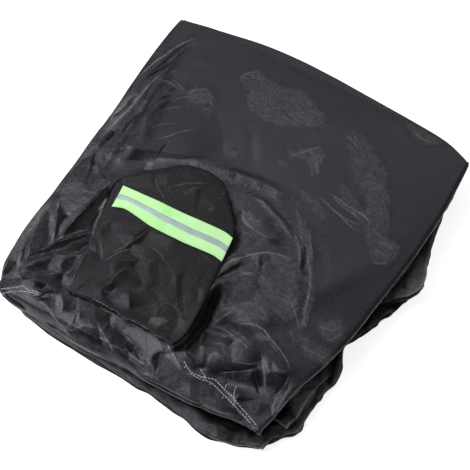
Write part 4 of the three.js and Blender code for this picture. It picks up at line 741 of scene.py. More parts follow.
# folds that little light reaches: how dark, how soft, corners
DEEP = [
    (0.27, 1.8, (-178.1, 98.2), (-146.6, 127), (-103.7, 126.6), (-66.4, 88.3), (-98.1, 58.8), (-139.1, 45.9), (-166.8, 60.8)),
    (0.24, 1.8, (-165.9, -194.6), (-153.8, -191.6), (-143.7, -189.8), (-128.1, -192.5), (-110.8, -198.4), (-96.4, -204.2), (-105.5, -211.3), (-119.4, -212.1), (-133.7, -210), (-151, -207.6), (-163.6, -202.4)),
    (0.46, 1.8, (-191.3, -202.4), (-179.9, -201.1), (-163.6, -202.4), (-152.4, -208.5), (-170.2, -206.3)),
    (0.69, 1.8, (-155.8, -188.7), (-143.5, -185.2), (-131.2, -179.2), (-126.6, -190.6), (-111.7, -196.3), (-98.4, -202.7), (-117.3, -193.9), (-134.4, -189.3), (-144.4, -188.9)),
    (0.58, 1.8, (-130.9, -181.7), (-127.7, -178.4), (-119.9, -192.4), (-125.5, -190.1)),
    (0.67, 1.8, (-124.9, -168.5), (-114.2, -163.8), (-105.3, -164.8), (-95.7, -177.3), (-103.9, -183.7), (-111.7, -185.9)),
    (0.34, 1.8, (-104.3, -164.2), (-95.2, -155.9), (-81.7, -159.8), (-66.5, -183.2), (-77, -183.3), (-89.1, -185.1), (-95.7, -177.3)),
    (0.44, 1.8, (-97.5, -204.7), (-83.6, -198.4), (-79.2, -192.2), (-64.2, -184.6), (-57.7, -194.2), (-49.6, -205.1), (-53.8, -214), (-65.6, -213), (-83.2, -210.5)),
    (0.28, 1.8, (-133.7, -211.6), (-116, -213.9), (-95.5, -212.9), (-75.6, -213.2), (-62.8, -214.4), (-50.1, -216.6), (-55.8, -214.4), (-71.3, -210.2), (-91, -207.9), (-113.5, -209.4)),
    (0.06, 1.8, (-61.5, -184.7), (-53.3, -189.6), (-41.7, -196.9), (-43.6, -205), (-49.1, -206.1), (-54.3, -193)),
    (0.75, 1.8, (-61, -183.2), (-61.3, -171), (-51.7, -177), (-43.1, -177.8), (-38.1, -177.5), (-25.9, -180), (-13.8, -184.5), (-1.7, -191), (-11.1, -192.7), (-21.9, -190.7), (-32.2, -191.5), (-41.4, -193.7), (-52.2, -189)),
    (0.81, 1.8, (-84.7, -161.4), (-63.9, -162.4), (-54, -173.8), (-60, -172.9), (-62.8, -182.6), (-74.3, -175.5)),
    (0.38, 1.8, (-45.3, -154), (-29.5, -153.7), (-17.1, -152.4), (-5.4, -154.2), (1.8, -153), (-0.7, -161.3), (-11.8, -160.5), (-24.3, -161.7), (-36.7, -167.6), (-47.8, -162.3)),
    (0.52, 1.8, (-38.5, -198), (-28.4, -193.1), (-19.6, -194), (-8.3, -194.9), (6.3, -196.8), (10.4, -190.3), (16, -199.5), (3.8, -204.7), (-18.5, -209.8), (-36.6, -209.8)),
    (0.78, 1.8, (5, -181.5), (11.5, -174.6), (17.7, -185.4), (18.7, -195.6), (12.7, -194.1)),
    (0.40, 1.8, (13.2, -177.5), (29.5, -179.3), (49.6, -183.9), (66.2, -181.6), (76.3, -197.6), (52.2, -200.1), (27.2, -201), (14.8, -197.7), (15.4, -188.1)),
    (0.50, 1.8, (-24.3, -216), (4.4, -205.6), (28.4, -203), (53.6, -202.1), (78.5, -201.2), (82.1, -210.1), (57.4, -209.1), (32.4, -211.2), (5.4, -212.5), (-24.1, -222.6)),
    (0.19, 1.8, (-61.3, -166.9), (-52, -166.5), (-45, -169.2), (-45.6, -176.2), (-52.2, -174.4)),
    (0.77, 1.8, (-196.7, -70.9), (-186.7, -77.1), (-178.4, -79.5), (-177.4, -93.5), (-173.3, -111.5), (-171.9, -119.2), (-181.4, -101.6), (-190.7, -83.1)),
    (0.47, 1.8, (-206.7, -84.7), (-197, -90.5), (-184.5, -109.2), (-174.7, -121.5), (-178.8, -135.8), (-185.9, -149.4), (-192.4, -135), (-198.3, -113.6), (-203.2, -96.9)),
    (0.85, 1.8, (-162.7, -44.3), (-155.8, -24.2), (-147.9, -32.6), (-150.1, -46.6), (-148.8, -63.8), (-143.7, -82), (-153, -88.8), (-164.1, -103.9), (-167.7, -104.7), (-167.6, -85.9), (-166.4, -70.6), (-163.2, -54)),
    (0.95, 1.8, (-164.9, -113.9), (-153.7, -99.9), (-140.4, -86.2), (-138, -87.7), (-146.2, -102.1), (-156.5, -117.1), (-168.6, -130.2), (-180, -142.2), (-184.1, -148.1), (-175.9, -129.9)),
    (0.79, 1.8, (-139.4, -85.6), (-133, -90.6), (-135.3, -98.6), (-139, -109.6), (-138.7, -114.1), (-151.1, -123.8), (-161.6, -128.8), (-166.3, -134.1), (-174.9, -141.3), (-168.6, -130.2), (-156.5, -117.1), (-146.2, -102.1)),
    (0.76, 1.8, (-179.8, -164.8), (-173.2, -154.1), (-165.3, -142.1), (-160.7, -133.7), (-160.8, -141.5), (-160.7, -151.1), (-152.3, -153.1), (-172.5, -163.5)),
    (0.81, 1.8, (-147.6, -127.9), (-137.7, -119.1), (-134.4, -132.1), (-132.7, -142.8), (-141.3, -145.8), (-148.5, -138.8)),
    (0.68, 1.8, (-182.8, -168.6), (-151.3, -154.3), (-138.2, -146.5), (-133.1, -158), (-131.9, -166.9), (-148.2, -167.2), (-165, -171.3), (-175.3, -176.3)),
    (0.95, 3, (-163.8, -172.6), (-148.2, -167.2), (-144.6, -176.6), (-157.2, -179)),
    (0.67, 1.8, (-199.1, -186), (-188.9, -180.5), (-178.3, -175.5), (-171.4, -182.4), (-182.4, -190.5), (-192.6, -196.2)),
    (0.20, 1.8, (-189.4, -166.2), (-191.5, -158.9), (-185.2, -167.7), (-186.3, -176.3), (-188.6, -183.1), (-191.4, -177.3)),
    (0.31, 1.8, (-202.9, -159.9), (-194.6, -160.5), (-190.6, -166.6), (-194.1, -173.8), (-196.7, -181.5), (-200, -178.3), (-201.3, -169.7)),
    (0.22, 1.8, (-200.7, -122.4), (-198.3, -119.7), (-192.4, -135), (-188.8, -151.1), (-190.6, -158.4), (-196.6, -144.9), (-199.5, -132.2)),
    (0.36, 1.8, (-207.5, -74.2), (-210.5, -58.3), (-206.6, -51), (-198.5, -66.5)),
    (0.22, 1.8, (-209.1, -51.8), (-211.3, -36.3), (-210.3, -19.2), (-209.4, -5.7), (-204.2, 4), (-200.8, 8), (-197, -1.9), (-193.1, -16.1), (-188.5, -31.1), (-196, -40.1), (-205.7, -47.8)),
    (0.90, 1.8, (-202.1, 12.2), (-195.6, 4.2), (-191.3, -4.5), (-188.9, -16.4), (-184.2, -31.5), (-183.3, -34.8), (-190.5, -18), (-196.4, -4.8)),
    (0.11, 1.8, (-189.5, -5.1), (-181.2, -8.7), (-178.3, -18.4), (-176.1, -31.5), (-178.1, -41.8), (-183.1, -51.7), (-194, -52.1), (-198.5, -45.2), (-189.6, -37.2), (-182.4, -34.1), (-187.2, -16.9)),
    (0.19, 1.8, (-179, -11.4), (-166.2, -20.5), (-157.8, -17.1), (-157.6, -25.4), (-160.7, -36.9), (-162.7, -44.3), (-173.7, -43.3), (-173.8, -32.2), (-174.7, -20.7)),
    (0.49, 1.8, (-199.5, 44.9), (-195, 45.5), (-195.4, 29.3), (-197.3, 19.6), (-201.2, 12.8), (-202.5, 22.2), (-202.4, 33.1)),
    (0.45, 1.8, (-187.6, 214.5), (-194.7, 191), (-198.3, 173.3), (-201.9, 156.2), (-204.4, 137.6), (-208.7, 126.7), (-211.5, 129), (-207.4, 140.6), (-204.9, 158.6), (-202.2, 177), (-198, 193.9), (-191.2, 206.6)),
    (0.95, 1.8, (-202, 102.7), (-202.7, 88.8), (-205.7, 71.5), (-207.9, 61.4), (-209.1, 63.8), (-205.5, 80.6), (-204, 95.8)),
    (0.45, 1.8, (-156, 132.7), (-165.2, 123.9), (-171.2, 107.4), (-175.4, 93.8), (-181.8, 80.9), (-187.8, 65.2), (-189.1, 49.1), (-192.1, 61.6), (-186.8, 82.9), (-179.1, 99.7), (-170.9, 117.5)),
    (0.59, 1.8, (-162.3, 114.8), (-164.4, 95.6), (-166.3, 77.2), (-168, 58.5), (-167.4, 47), (-169.7, 74.9), (-168.6, 98.6)),
    (0.07, 1.8, (-151.5, 134.7), (-137.5, 144.5), (-116.8, 145.5), (-113.9, 134), (-126.5, 126.9), (-137.9, 117.8), (-152.5, 113.7), (-161.9, 109.6), (-158.8, 120.9)),
    (0.28, 1.8, (-171.2, 25.7), (-143.6, 42.3), (-134.7, 45.6), (-135, 32.8), (-165.7, 12.3)),
    (0.84, 3, (4.2, -11.2), (4.9, 3), (14.2, -10.2), (17.9, -22.8), (14.4, -34.6), (12.1, -52.3), (11.2, -68), (10.2, -53.5), (10.6, -41.1), (7.8, -21.4)),
    (0.90, 3, (14.4, -70.9), (18, -61.9), (22.5, -52.2), (26.5, -41.4), (28.1, -33), (31.7, -39), (26.5, -50), (22.6, -60.9), (18.7, -71.6), (14.9, -78.1)),
    (0.95, 3, (23.2, -68.7), (30.5, -79.1), (34.4, -88.8), (37.6, -99.5), (40.1, -112.1), (41.7, -125.5), (42.3, -142.9), (36.9, -161), (23.4, -169.3), (22.3, -152), (20.3, -128.3), (16.6, -110.2), (15.9, -98.6), (16.6, -89.3), (19.4, -81.3)),
    (0.12, 1.8, (27.4, -31.8), (40.5, -21), (48.2, -29.9), (52.8, -33.1), (44.9, -41.4), (34.4, -43.3)),
    (0.54, 1.8, (43.3, -21.3), (46, -16.9), (50.7, -22.6), (51.3, -30.7), (47, -27.7)),
    (0.12, 1.8, (53.1, -10.9), (67.4, -6.6), (83.5, -5.1), (79.7, -12), (66.4, -15.8), (57.4, -15.8)),
    (0.22, 1.8, (52, -27.2), (59.8, -17.7), (79.2, -15.6), (88.5, -18.3), (99.8, -30.5), (101, -48.3), (90.9, -57.1), (76.7, -59.1), (59.8, -53.7), (56.2, -34)),
    (0.35, 1.8, (26.3, -67.8), (40.2, -54.8), (52.5, -54.8), (48.1, -64.8), (46.9, -83.6), (41.4, -91.3)),
    (0.39, 1.8, (47.9, -106.4), (54.2, -95.9), (61.6, -90.4), (61.9, -99.8), (61, -108.9), (53.8, -115.9), (48.2, -119.2)),
    (0.14, 1.8, (40.6, 43.8), (54.9, 53.5), (70.4, 44.9), (82, 20.2), (86.1, -0.5), (91.6, -12.2), (78.7, 3.3), (63.2, 21), (45, 33.9)),
    (0.62, 1.8, (79.9, 17), (82.6, 19), (90.1, 6.3), (96.1, -8.6), (90.8, -6.4), (84.1, 7.4)),
    (0.27, 1.8, (19.2, 28), (33.7, 30.6), (53.2, 20), (63.8, 6.7), (46.1, 0.9), (27.9, -2.1), (11.8, 0.4), (20.1, 4.4), (40, 6.5), (49.3, 11)),
    (0.15, 1.8, (-19.2, 16), (-7.9, 19.7), (7.3, 1.2), (4.1, -4.5), (-7.7, 3.8)),
    (0.23, 1.8, (63.9, -111.2), (81.8, -102.3), (90.3, -103.5), (96.8, -101), (93.3, -113.3), (92.3, -119.9), (84.1, -118.9), (72, -115.9)),
    (0.21, 1.8, (96.5, -114.5), (110.7, -107.8), (126.1, -112.9), (138.7, -119.9), (148.3, -127.6), (145.4, -133.2), (137.3, -135.9), (126.1, -134), (116.5, -126), (106.2, -121.6)),
    (0.47, 1.8, (129, -138.8), (139.7, -135.8), (148.5, -131.7), (151.4, -146.3), (148.2, -155.9), (146.2, -165), (138, -161.4), (131.2, -151.7), (128.6, -142.3)),
    (0.20, 1.8, (120.6, -141.9), (125.5, -141.6), (131.7, -152.5), (137.9, -166.8), (130.5, -160.4), (124.5, -150.7)),
    (0.72, 3, (110.1, -149.3), (115.6, -142.2), (120.6, -141.9), (126.4, -153.8), (129.5, -160.9), (115.8, -154.5), (111.4, -153.5)),
    (0.08, 1.8, (73.4, -168.1), (85.1, -160.4), (99.1, -152.2), (111.5, -147.6), (112.8, -155.8), (120.1, -165.8), (117.4, -173.7), (110.1, -178.3), (95.2, -170.6), (83, -167.4)),
    (0.95, 3, (66.1, -168.6), (84.1, -158.9), (98.2, -150.6), (113.2, -142.4), (117.6, -141.1), (109.5, -148.5), (95.1, -155.9), (76.2, -166.6)),
    (0.18, 1.8, (39.5, -117.4), (56.1, -119.7), (74.8, -120.4), (85.5, -121.2), (84.1, -127.2), (74.1, -127.8), (61, -127.1), (46.5, -124.7)),
    (0.80, 1.8, (41.4, -129.1), (59.6, -128.9), (77.1, -128.7), (77.5, -137.5), (69, -136.3), (55.6, -142.9), (45.5, -147.7)),
    (0.28, 1.8, (73.8, -131.6), (91.7, -129.5), (108.6, -125.4), (115.1, -132.2), (106, -142.7), (92.1, -148.1), (79.8, -144.8)),
    (0.48, 1.8, (27.2, -139), (38.4, -136.9), (41.4, -129.1), (45.5, -147.7), (64.5, -166.2), (53.9, -171.7), (35.6, -162.9)),
    (0.66, 1.8, (111.9, -173), (123.6, -171.4), (134.5, -168.9), (130.5, -172.5), (118.9, -180.5), (112.5, -182.2)),
    (0.17, 1.8, (117.1, -181.7), (129.9, -171.6), (136.8, -168.9), (148.8, -176.7), (139, -184.7), (128, -183.1)),
    (0.33, 1.8, (146.2, -165), (148.2, -155.9), (150.8, -142.9), (150.1, -130.2), (154.4, -136.4), (157.7, -152.4), (156.6, -168.3), (153.8, -176.7)),
    (0.32, 1.8, (137.4, -169.9), (147, -170), (153.8, -176.7), (145.6, -183.5), (139, -184.7)),
    (0.30, 1.8, (57.4, -187.7), (69, -185.8), (84.4, -181.8), (101.6, -185.2), (118.1, -191.6), (117.8, -199.8), (97.3, -201.1), (79.5, -203.2), (67, -203)),
    (0.75, 1.8, (107.7, -191.1), (117, -189.8), (129.2, -195.3), (137.4, -199.1), (127.6, -199.5), (117.8, -199.8), (111.7, -197.7)),
    (0.61, 1.8, (49, -144.6), (77.6, -133.7), (87.5, -149.1), (74.6, -148.4), (64.9, -147), (60.7, -154.9), (62.6, -162.8), (58.8, -164.7)),
    (0.38, 1.8, (33.5, -52.8), (48, -42.6), (67.2, -52.1), (64, -73.2), (56, -81.2), (46.9, -83.6), (49.1, -61.8)),
    (0.11, 1.8, (77.9, -70.2), (88.9, -58), (104.8, -63.4), (119.3, -75.1), (109, -83.7), (93.5, -83.4)),
    (0.94, 3, (-96, 46.9), (-77, 47.6), (-56.1, 47.1), (-37.9, 42), (-19.5, 27.5), (-2.2, 8), (12.3, -11.4), (7, -15.8), (-7.7, 3.8), (-23.8, 21.3), (-40.7, 35.5), (-57.4, 40.3), (-77.5, 41.6), (-96.1, 42.5)),
]

# facets painted paler as highlight where they catch the light: how pale, how soft, corners
PALE = [
    (0.08, 1.5, (-112, -187.4), (-103.1, -184.8), (-97.6, -180.7), (-88, -197.9), (-95.6, -202.7), (-104.1, -195.3)),
    (0.06, 1.5, (-92, -189.1), (-78.9, -184.5), (-70.6, -184.9), (-64.8, -183.6), (-72.9, -189.8), (-82.5, -195.2)),
    (0.87, 1.5, (-41.2, -174.9), (-36.7, -167.6), (-26.3, -162.7), (-18, -161.1), (-7.3, -176), (1, -187), (-8.4, -182.6), (-18.7, -177.1), (-29.5, -174.7)),
    (0.90, 1.5, (-17, -160.6), (-9.9, -159.4), (-0, -162.4), (6.3, -167.2), (13.4, -171.5), (6.2, -177.1), (3.3, -183.6), (5.5, -191.6), (-3.5, -179.9)),
    (0.44, 1.5, (3.2, -165), (13.4, -171.5), (27, -179.3), (46.8, -185.4), (35, -176), (15.9, -165.8), (3.1, -159.1)),
    (0.12, 1.5, (1.8, -153), (13.4, -158.8), (30.8, -169.2), (41.7, -177.1), (33.9, -174.1), (15.2, -164.9)),
    (0.20, 1.5, (-21.7, -193), (-15.8, -189.5), (-2, -192.6), (-6.9, -197.1), (-15.4, -197.3)),
    (0.12, 1.5, (-179.9, -73.1), (-168.2, -68.2), (-167.6, -85.9), (-167.7, -104.7), (-172, -109.2), (-178.6, -95.8)),
    (0.90, 1.5, (-149.9, -42.4), (-146.1, -39.5), (-144.5, -61.1), (-140.3, -78.2), (-141.3, -83.1), (-148.3, -64.7)),
    (0.10, 1.5, (-161.6, -128.8), (-137.6, -115.5), (-138.7, -121.5), (-148.7, -126.6), (-150, -136.6), (-148.7, -144.6), (-154.5, -148), (-157.9, -137.3)),
    (0.06, 1.5, (-204.7, 18.7), (-187.5, 20.9), (-169, 13.7), (-163.9, 13.4), (-137.2, 31.7), (-135.7, 20.4), (-131.6, 8.5), (-154.4, -6), (-164.5, -15.4), (-180.1, -8), (-191.5, 2.1)),
    (0.37, 1.5, (-201.5, 130.5), (-198.5, 118.4), (-197.2, 107), (-197.5, 94.3), (-197.8, 81.8), (-199.1, 63.3), (-202.3, 49.2), (-205.9, 43.5), (-207.8, 56.7), (-204, 73.4), (-202, 87.6), (-200.7, 100.4), (-200.5, 113.1)),
    (0.29, 1.5, (-135, 32.8), (-129.5, 37.7), (-83.7, 58.2), (-83.3, 48.8), (-99.7, 39.3), (-118.7, 25.1), (-125.5, 20.2)),
    (0.74, 1.5, (-138.2, 26.7), (-133.8, 33.1), (-125.5, 20.2), (-134.2, 16.1)),
    (0.03, 1.5, (-175.8, 28.2), (-162.6, 33.2), (-161.4, 29.1), (-170.1, 24.2)),
    (0.81, 1.5, (11.9, -69.1), (13.7, -59.2), (15.9, -49.9), (19.4, -38.2), (25.1, -30.3), (26.5, -32.5), (20.2, -44), (16.2, -54.6), (14.3, -66.5)),
    (0.38, 1.5, (15.3, -91.4), (16.5, -85), (19.2, -74.7), (22.1, -64.6), (27.3, -55.7), (26.2, -62.9), (22.6, -74.3), (19.4, -85.6), (18.8, -92.9)),
    (0.16, 1.5, (22.8, -65.8), (29.1, -54.3), (36.7, -45), (46.9, -40.5), (49.8, -50.2), (36.3, -57.1), (26.8, -64.1)),
    (0.22, 1.5, (39.5, -92.6), (48.7, -88.2), (60.5, -88.4), (47, -92.4), (41.4, -99.7), (39.9, -105.4), (32.8, -96.3)),
    (0.11, 1.5, (56, -89.8), (68.2, -88.1), (77.8, -95.8), (68.8, -102.4), (61, -106.8), (58.5, -98.6)),
    (0.90, 1.5, (92.7, -110.2), (96.8, -101), (104.7, -101), (110, -106.2), (102.8, -112.4), (96.5, -114.5)),
    (0.14, 1.5, (114.5, -131.2), (119.3, -128.7), (124.1, -132.7), (123.4, -138), (118.4, -138.2)),
    (0.31, 1.5, (125, -128.1), (129.7, -129.7), (137.3, -132), (134.8, -135.9), (129.7, -135.8)),
    (0.05, 1.5, (150.1, -130.2), (163.1, -134), (162, -152.3), (159.2, -168.3), (154.5, -177.7), (154.9, -161.3), (155.3, -143.7)),
]

# folds that little light reaches: how dark, how soft, corners
POCKET_DEEP = [
    (0.27, 1.8, (-86.7, -56.7), (-78.6, -56.7), (-80.5, -74.7), (-86.4, -84.2), (-90.7, -88.1), (-88.9, -76.4)),
    (0.33, 1.8, (-90, -117.6), (-84.5, -105.6), (-74.6, -100.1), (-68.2, -93.4), (-69.8, -103.3), (-76.8, -113.1), (-83.8, -122.9)),
    (0.29, 1.8, (-132.7, -123.1), (-116.1, -111.2), (-106.3, -117.7), (-93.4, -116.5), (-84.9, -129.3), (-101.9, -144.3), (-120.1, -145.5)),
    (0.31, 1.8, (-80.8, -131.4), (-77.2, -120.7), (-74.5, -110.4), (-66.9, -107.6), (-55.4, -112.9), (-46.5, -122.4), (-58.8, -132.1), (-75.9, -138.7)),
    (0.26, 1.8, (-86.4, -147.2), (-83.2, -139.8), (-78.7, -134.5), (-73.5, -140.2), (-75.6, -151.2), (-77.5, -156.4)),
    (0.09, 1.8, (-58.8, -132.1), (-40.1, -115.9), (-20.6, -125.2), (-17.9, -129.3), (-36.1, -142.2), (-44.6, -149.6)),
    (0.08, 1.8, (-39.8, -114.3), (-14.2, -104.4), (-4.9, -116.6), (-6.1, -122.9), (-17.6, -127.8)),
    (0.08, 1.8, (-22.4, -89.7), (-16.6, -86.3), (1, -113.5), (13.9, -129), (7.2, -127), (-4.9, -116.6)),
    (0.08, 1.8, (-19.9, -130.4), (-5.4, -124), (5.2, -128.1), (9.8, -139.3), (1.9, -143.5), (-13.8, -143.8)),
    (0.14, 1.8, (-64.9, 15.6), (-59.6, 20.2), (-48.9, 1), (-52.9, -1.3)),
    (0.10, 1.8, (-94, 5.3), (-78.6, 15.7), (-56, 31.9), (-63.6, 17.9), (-73.4, 7.5), (-88.2, 0.6)),
    (0.30, 1.8, (-137.6, -77.2), (-126, -67.8), (-116.5, -78), (-126.3, -88)),
    (0.08, 1.8, (-56.9, -90), (-49.1, -85.5), (-31, -109.3), (-39.5, -112.7), (-51.8, -102)),
    (0.06, 1.8, (-47.2, -84.4), (-36.5, -84.3), (-22.8, -97.4), (-22.5, -106), (-30, -108.8)),
]

# facets painted paler as highlight where they catch the light: how pale, how soft, corners
POCKET_PALE = [
    (0.04, 1.5, (-129.6, -91.3), (-122.3, -85.8), (-109.7, -75.8), (-95.5, -72.5), (-87.3, -72.5), (-90.1, -84.7), (-97.1, -94.7), (-102.2, -103.5), (-104.5, -112.2), (-109.2, -113.3), (-117.1, -105.7), (-126.5, -95.8)),
    (0.14, 1.5, (-131.4, -108.9), (-129.6, -103.5), (-124.6, -100.7), (-118.3, -107.9), (-125.1, -110.1)),
    (0.08, 1.5, (-87.6, -80.3), (-83, -79.2), (-75.1, -74.7), (-74, -68), (-73.7, -60.1), (-69.5, -56.1), (-59.4, -55), (-46.4, -52.1), (-48.2, -57.7), (-52, -64.5), (-59.1, -70.1), (-65, -73.5), (-68, -81.3), (-68.4, -89), (-72.8, -94.6), (-80.4, -91.3), (-85.3, -88)),
    (0.17, 1.5, (-68.6, -151.6), (-63.1, -145.8), (-60.3, -140), (-55, -139.9), (-49.9, -145.6), (-43.5, -153.2), (-51, -155.9), (-60.2, -158.1)),
    (0.17, 1.5, (8.7, -92.9), (11.4, -86.8), (15.5, -93.5), (17.6, -103), (14.2, -103.5)),
    (0.65, 1.5, (-19.7, -147), (-2.4, -143.1), (-3.4, -155.9), (-17.7, -154.2)),
    (0.17, 1.5, (7.9, -132.1), (19.7, -134.1), (18, -152.3), (17.1, -159), (11.6, -146.4)),
    (0.07, 1.5, (-115, 14.4), (-103, 19.5), (-98.2, 7.7), (-106.4, 3.1)),
    (0.05, 1.5, (-150, -7.7), (-122.9, 11.7), (-110.9, -2.6), (-121.6, -11.7), (-141.2, -15.9)),
    (0.13, 1.5, (-133.4, -73.3), (-128.1, -62.7), (-126, -67.8), (-130.6, -73.4)),
]

# parts of the lower layers painted paler than the rest as highlight, with amount above 0, and darker as shade, with
# amount below 0; then how soft, and corners
LAYER_TONES = [
    (0.40, 1.5, (153.9, -132.2), (170.2, -116.5), (180.6, -121.5), (185, -155.4), (178.8, -162), (163, -152.1)),
    (-0.75, 1.5, (141.9, -176.2), (154.4, -150.3), (166.1, -153), (178.8, -162), (163.4, -174.2), (146.8, -184.3)),
    (0.35, 1.5, (126.6, -197), (145.7, -182.5), (180.9, -161), (183.8, -166.2), (149.4, -188.6), (130.3, -203)),
    (-0.90, 1.5, (185.8, -104.1), (177.2, -97.8), (171.3, -69.5), (173.3, -59.5), (179.7, -73.1), (187.7, -102.9)),
    (0.30, 1.5, (188.8, -99.9), (178, -71.8), (175.6, -58.5), (184.6, -67.7), (190.3, -84.6)),
    (-0.60, 1.5, (175.8, -14.2), (176.7, 7.5), (194.8, 21.6), (196.9, -1.3), (195.2, -26.2), (185.7, -32)),
    (0.40, 1.5, (185.4, -8.3), (186.8, 3.1), (197.5, -18.9), (189.6, -20.7)),
    (-0.85, 1.5, (189.2, 53.5), (196.3, 54.7), (201.5, 42.5), (195.1, 40.1)),
    (-0.45, 1.5, (171.8, 102.7), (188.4, 125.7), (201.4, 86), (200.9, 57.7), (186.2, 61.1)),
    (0.35, 1.5, (178.2, 23.7), (207.2, 41.4), (209, 35.6), (183.2, 19.1)),
    (-0.90, 1.5, (189.4, 22.1), (210.6, 35), (208.2, 25.2), (197.9, 20.5)),
    (0.28, 1.5, (190.5, 77.7), (197.6, 96.1), (215.9, 59), (204.7, 41.4), (196.5, 47.1)),
    (0.32, 1.5, (168.7, 162.6), (187.8, 184.2), (191.5, 166.7), (190, 149.5), (197.5, 112.4), (181.9, 134.8)),
    (0.40, 1.5, (19.9, -212.2), (29.9, -207.5), (82.9, -209.1), (87.4, -216.2), (63.7, -219.5), (35.9, -216.7)),
    (0.35, 1.5, (-0, -210), (9.9, -211.1), (32.6, -211.6), (34, -217.8), (9.8, -216.9)),
    (-0.40, 1.5, (91.3, -212.1), (138, -194.8), (152.6, -202.4), (138.5, -216.5), (109.3, -220.6)),
    (0.30, 1.5, (94, -202.1), (125, -194.3), (138, -194.8), (123.8, -200.7), (99, -206)),
    (0.25, 1.5, (129.4, -210), (152.2, -201.6), (159.5, -205.4), (144.8, -214.4)),
    (0.30, 1.5, (163.2, -169.3), (181.2, -152.8), (183.4, -165.3), (158.7, -191.5), (150.7, -190.8)),
]

STITCH_ROWS = [
    (3.0, 0.8, 0.50, (39.8, -171.7), (51.1, -177.8), (63.4, -177), (71, -174.7), (77.9, -171.5), (87.3, -174.1), (98.7, -178.2), (107.8, -180.7), (116.5, -184.8), (127.6, -188.6), (138.9, -192.7), (148.7, -196.7)),
    (3.0, 0.8, 0.45, (52.5, -180.2), (65.6, -180.5), (73.9, -177.5), (83.7, -178.7), (91.6, -181.2), (102.6, -184.7), (111.8, -187.5), (122.9, -191.3), (133.6, -194.3), (147.6, -201.5)),
    (2.6, 0.9, 0.42, (-191.4, -195.8), (-182.4, -190.5), (-175, -185.3), (-170.3, -181.9), (-162.1, -183.8), (-153.9, -181.7), (-146, -182.4)),
    (2.6, 0.9, 0.42, (-190, -201.8), (-179.7, -194.6), (-170, -188.4), (-160.7, -185.7), (-153.4, -184.1), (-144.3, -184.3)),
]
LOOSE_ENDS = [
    (0.40, (60.7, -170.4, 2.5), (64.3, -172, 1.5), (69.4, -174.3, 0)),
    (0.40, (67.9, -173.8, 0), (65.7, -178.7, 0.6), (62.5, -177.7, 1)),
    (0.40, (104.5, -167.1, 3), (105.5, -172.8, 2), (108.1, -179.1, 0.8), (110.5, -183.2, 0.1)),
    (0.40, (110.5, -183.2, 0), (113.7, -186.4, 0.4), (112.9, -189.4, 0.6)),
    (0.35, (92.7, -170.6, 1.5), (94.7, -175.8, 0.3)),
    (0.35, (98.6, -188.5, 1.2), (98.6, -184.3, 0.3)),
    (0.35, (68.8, -179.6, 0.8), (70.1, -175.4, 0.2)),
    (0.35, (79.6, -178.4, 0.6), (77.9, -181.8, 0.9)),
    (0.35, (44.4, -175.2, 0.3), (43.8, -178.5, 0.8)),
]


# --------------------------------------------------- relief of the cover cloth
def pocket_outline(inset=0.0):
    y = np.linspace(POCKET_Y[0], POCKET_Y[-1], 60)
    left = table(POCKET_Y, POCKET_LEFT, y) + inset
    right = table(POCKET_Y, POCKET_RIGHT, y) - inset
    return [*zip(left, y), *zip(right[::-1], y[::-1])]


def thin_creases(cloth, lines):
    """Thin sharp ridges and troughs, with maps of painted highlight along the ridges and beside the troughs, and of
    painted shade in the troughs.
    """
    cloth.crest, cloth.fold = np.zeros_like(cloth.x), np.zeros_like(cloth.x)
    for strength, start, end, *points in lines:
        size = min(abs(strength), 5.0)
        if strength > 0:
            cloth.crease(0.10 + 0.10 * size, 1.4, 1.4, start, end, *points)
            cloth.crease(0.04 + 0.19 * size, 1.2, 0.9, start, end, *points, into=cloth.crest, power=1.0)
        else:
            cloth.crease(-0.35 - 0.12 * size, 1.9, 1.9, start, end, *points)
            cloth.crease(0.25 + 0.20 * size, 2.0, 2.0, start, end, *points, into=cloth.fold, power=1.0)
            cloth.crease(0.05 * size, 1.4, 1.4, start, end, *[(px + 1.0, ps + 1.4) for px, ps in points],
                         into=cloth.crest, power=1.0)


def toned(cloth, deep, pale):
    """Maps of painted shade in the folds that little light reaches and of painted highlight on facets that catch the
    light.
    """
    cloth.pale = np.zeros_like(cloth.x)
    x, s = cloth.x, cloth.s
    aside = 2.0 * wobble(x, s, 9, 461) + 1.1 * wobble(x, s, 4, 462)
    along = 2.0 * wobble(x, s, 9, 463) + 1.1 * wobble(x, s, 4, 464)
    for into, rows in ((cloth.fold, deep), (cloth.pale, pale)):
        chart = np.zeros_like(x)
        for amount, soft, *points in rows:
            np.maximum(chart, amount * cloth.area(soft, points), out=chart)
        np.maximum(into, cloth.at(x + aside, s + along, chart), out=into)


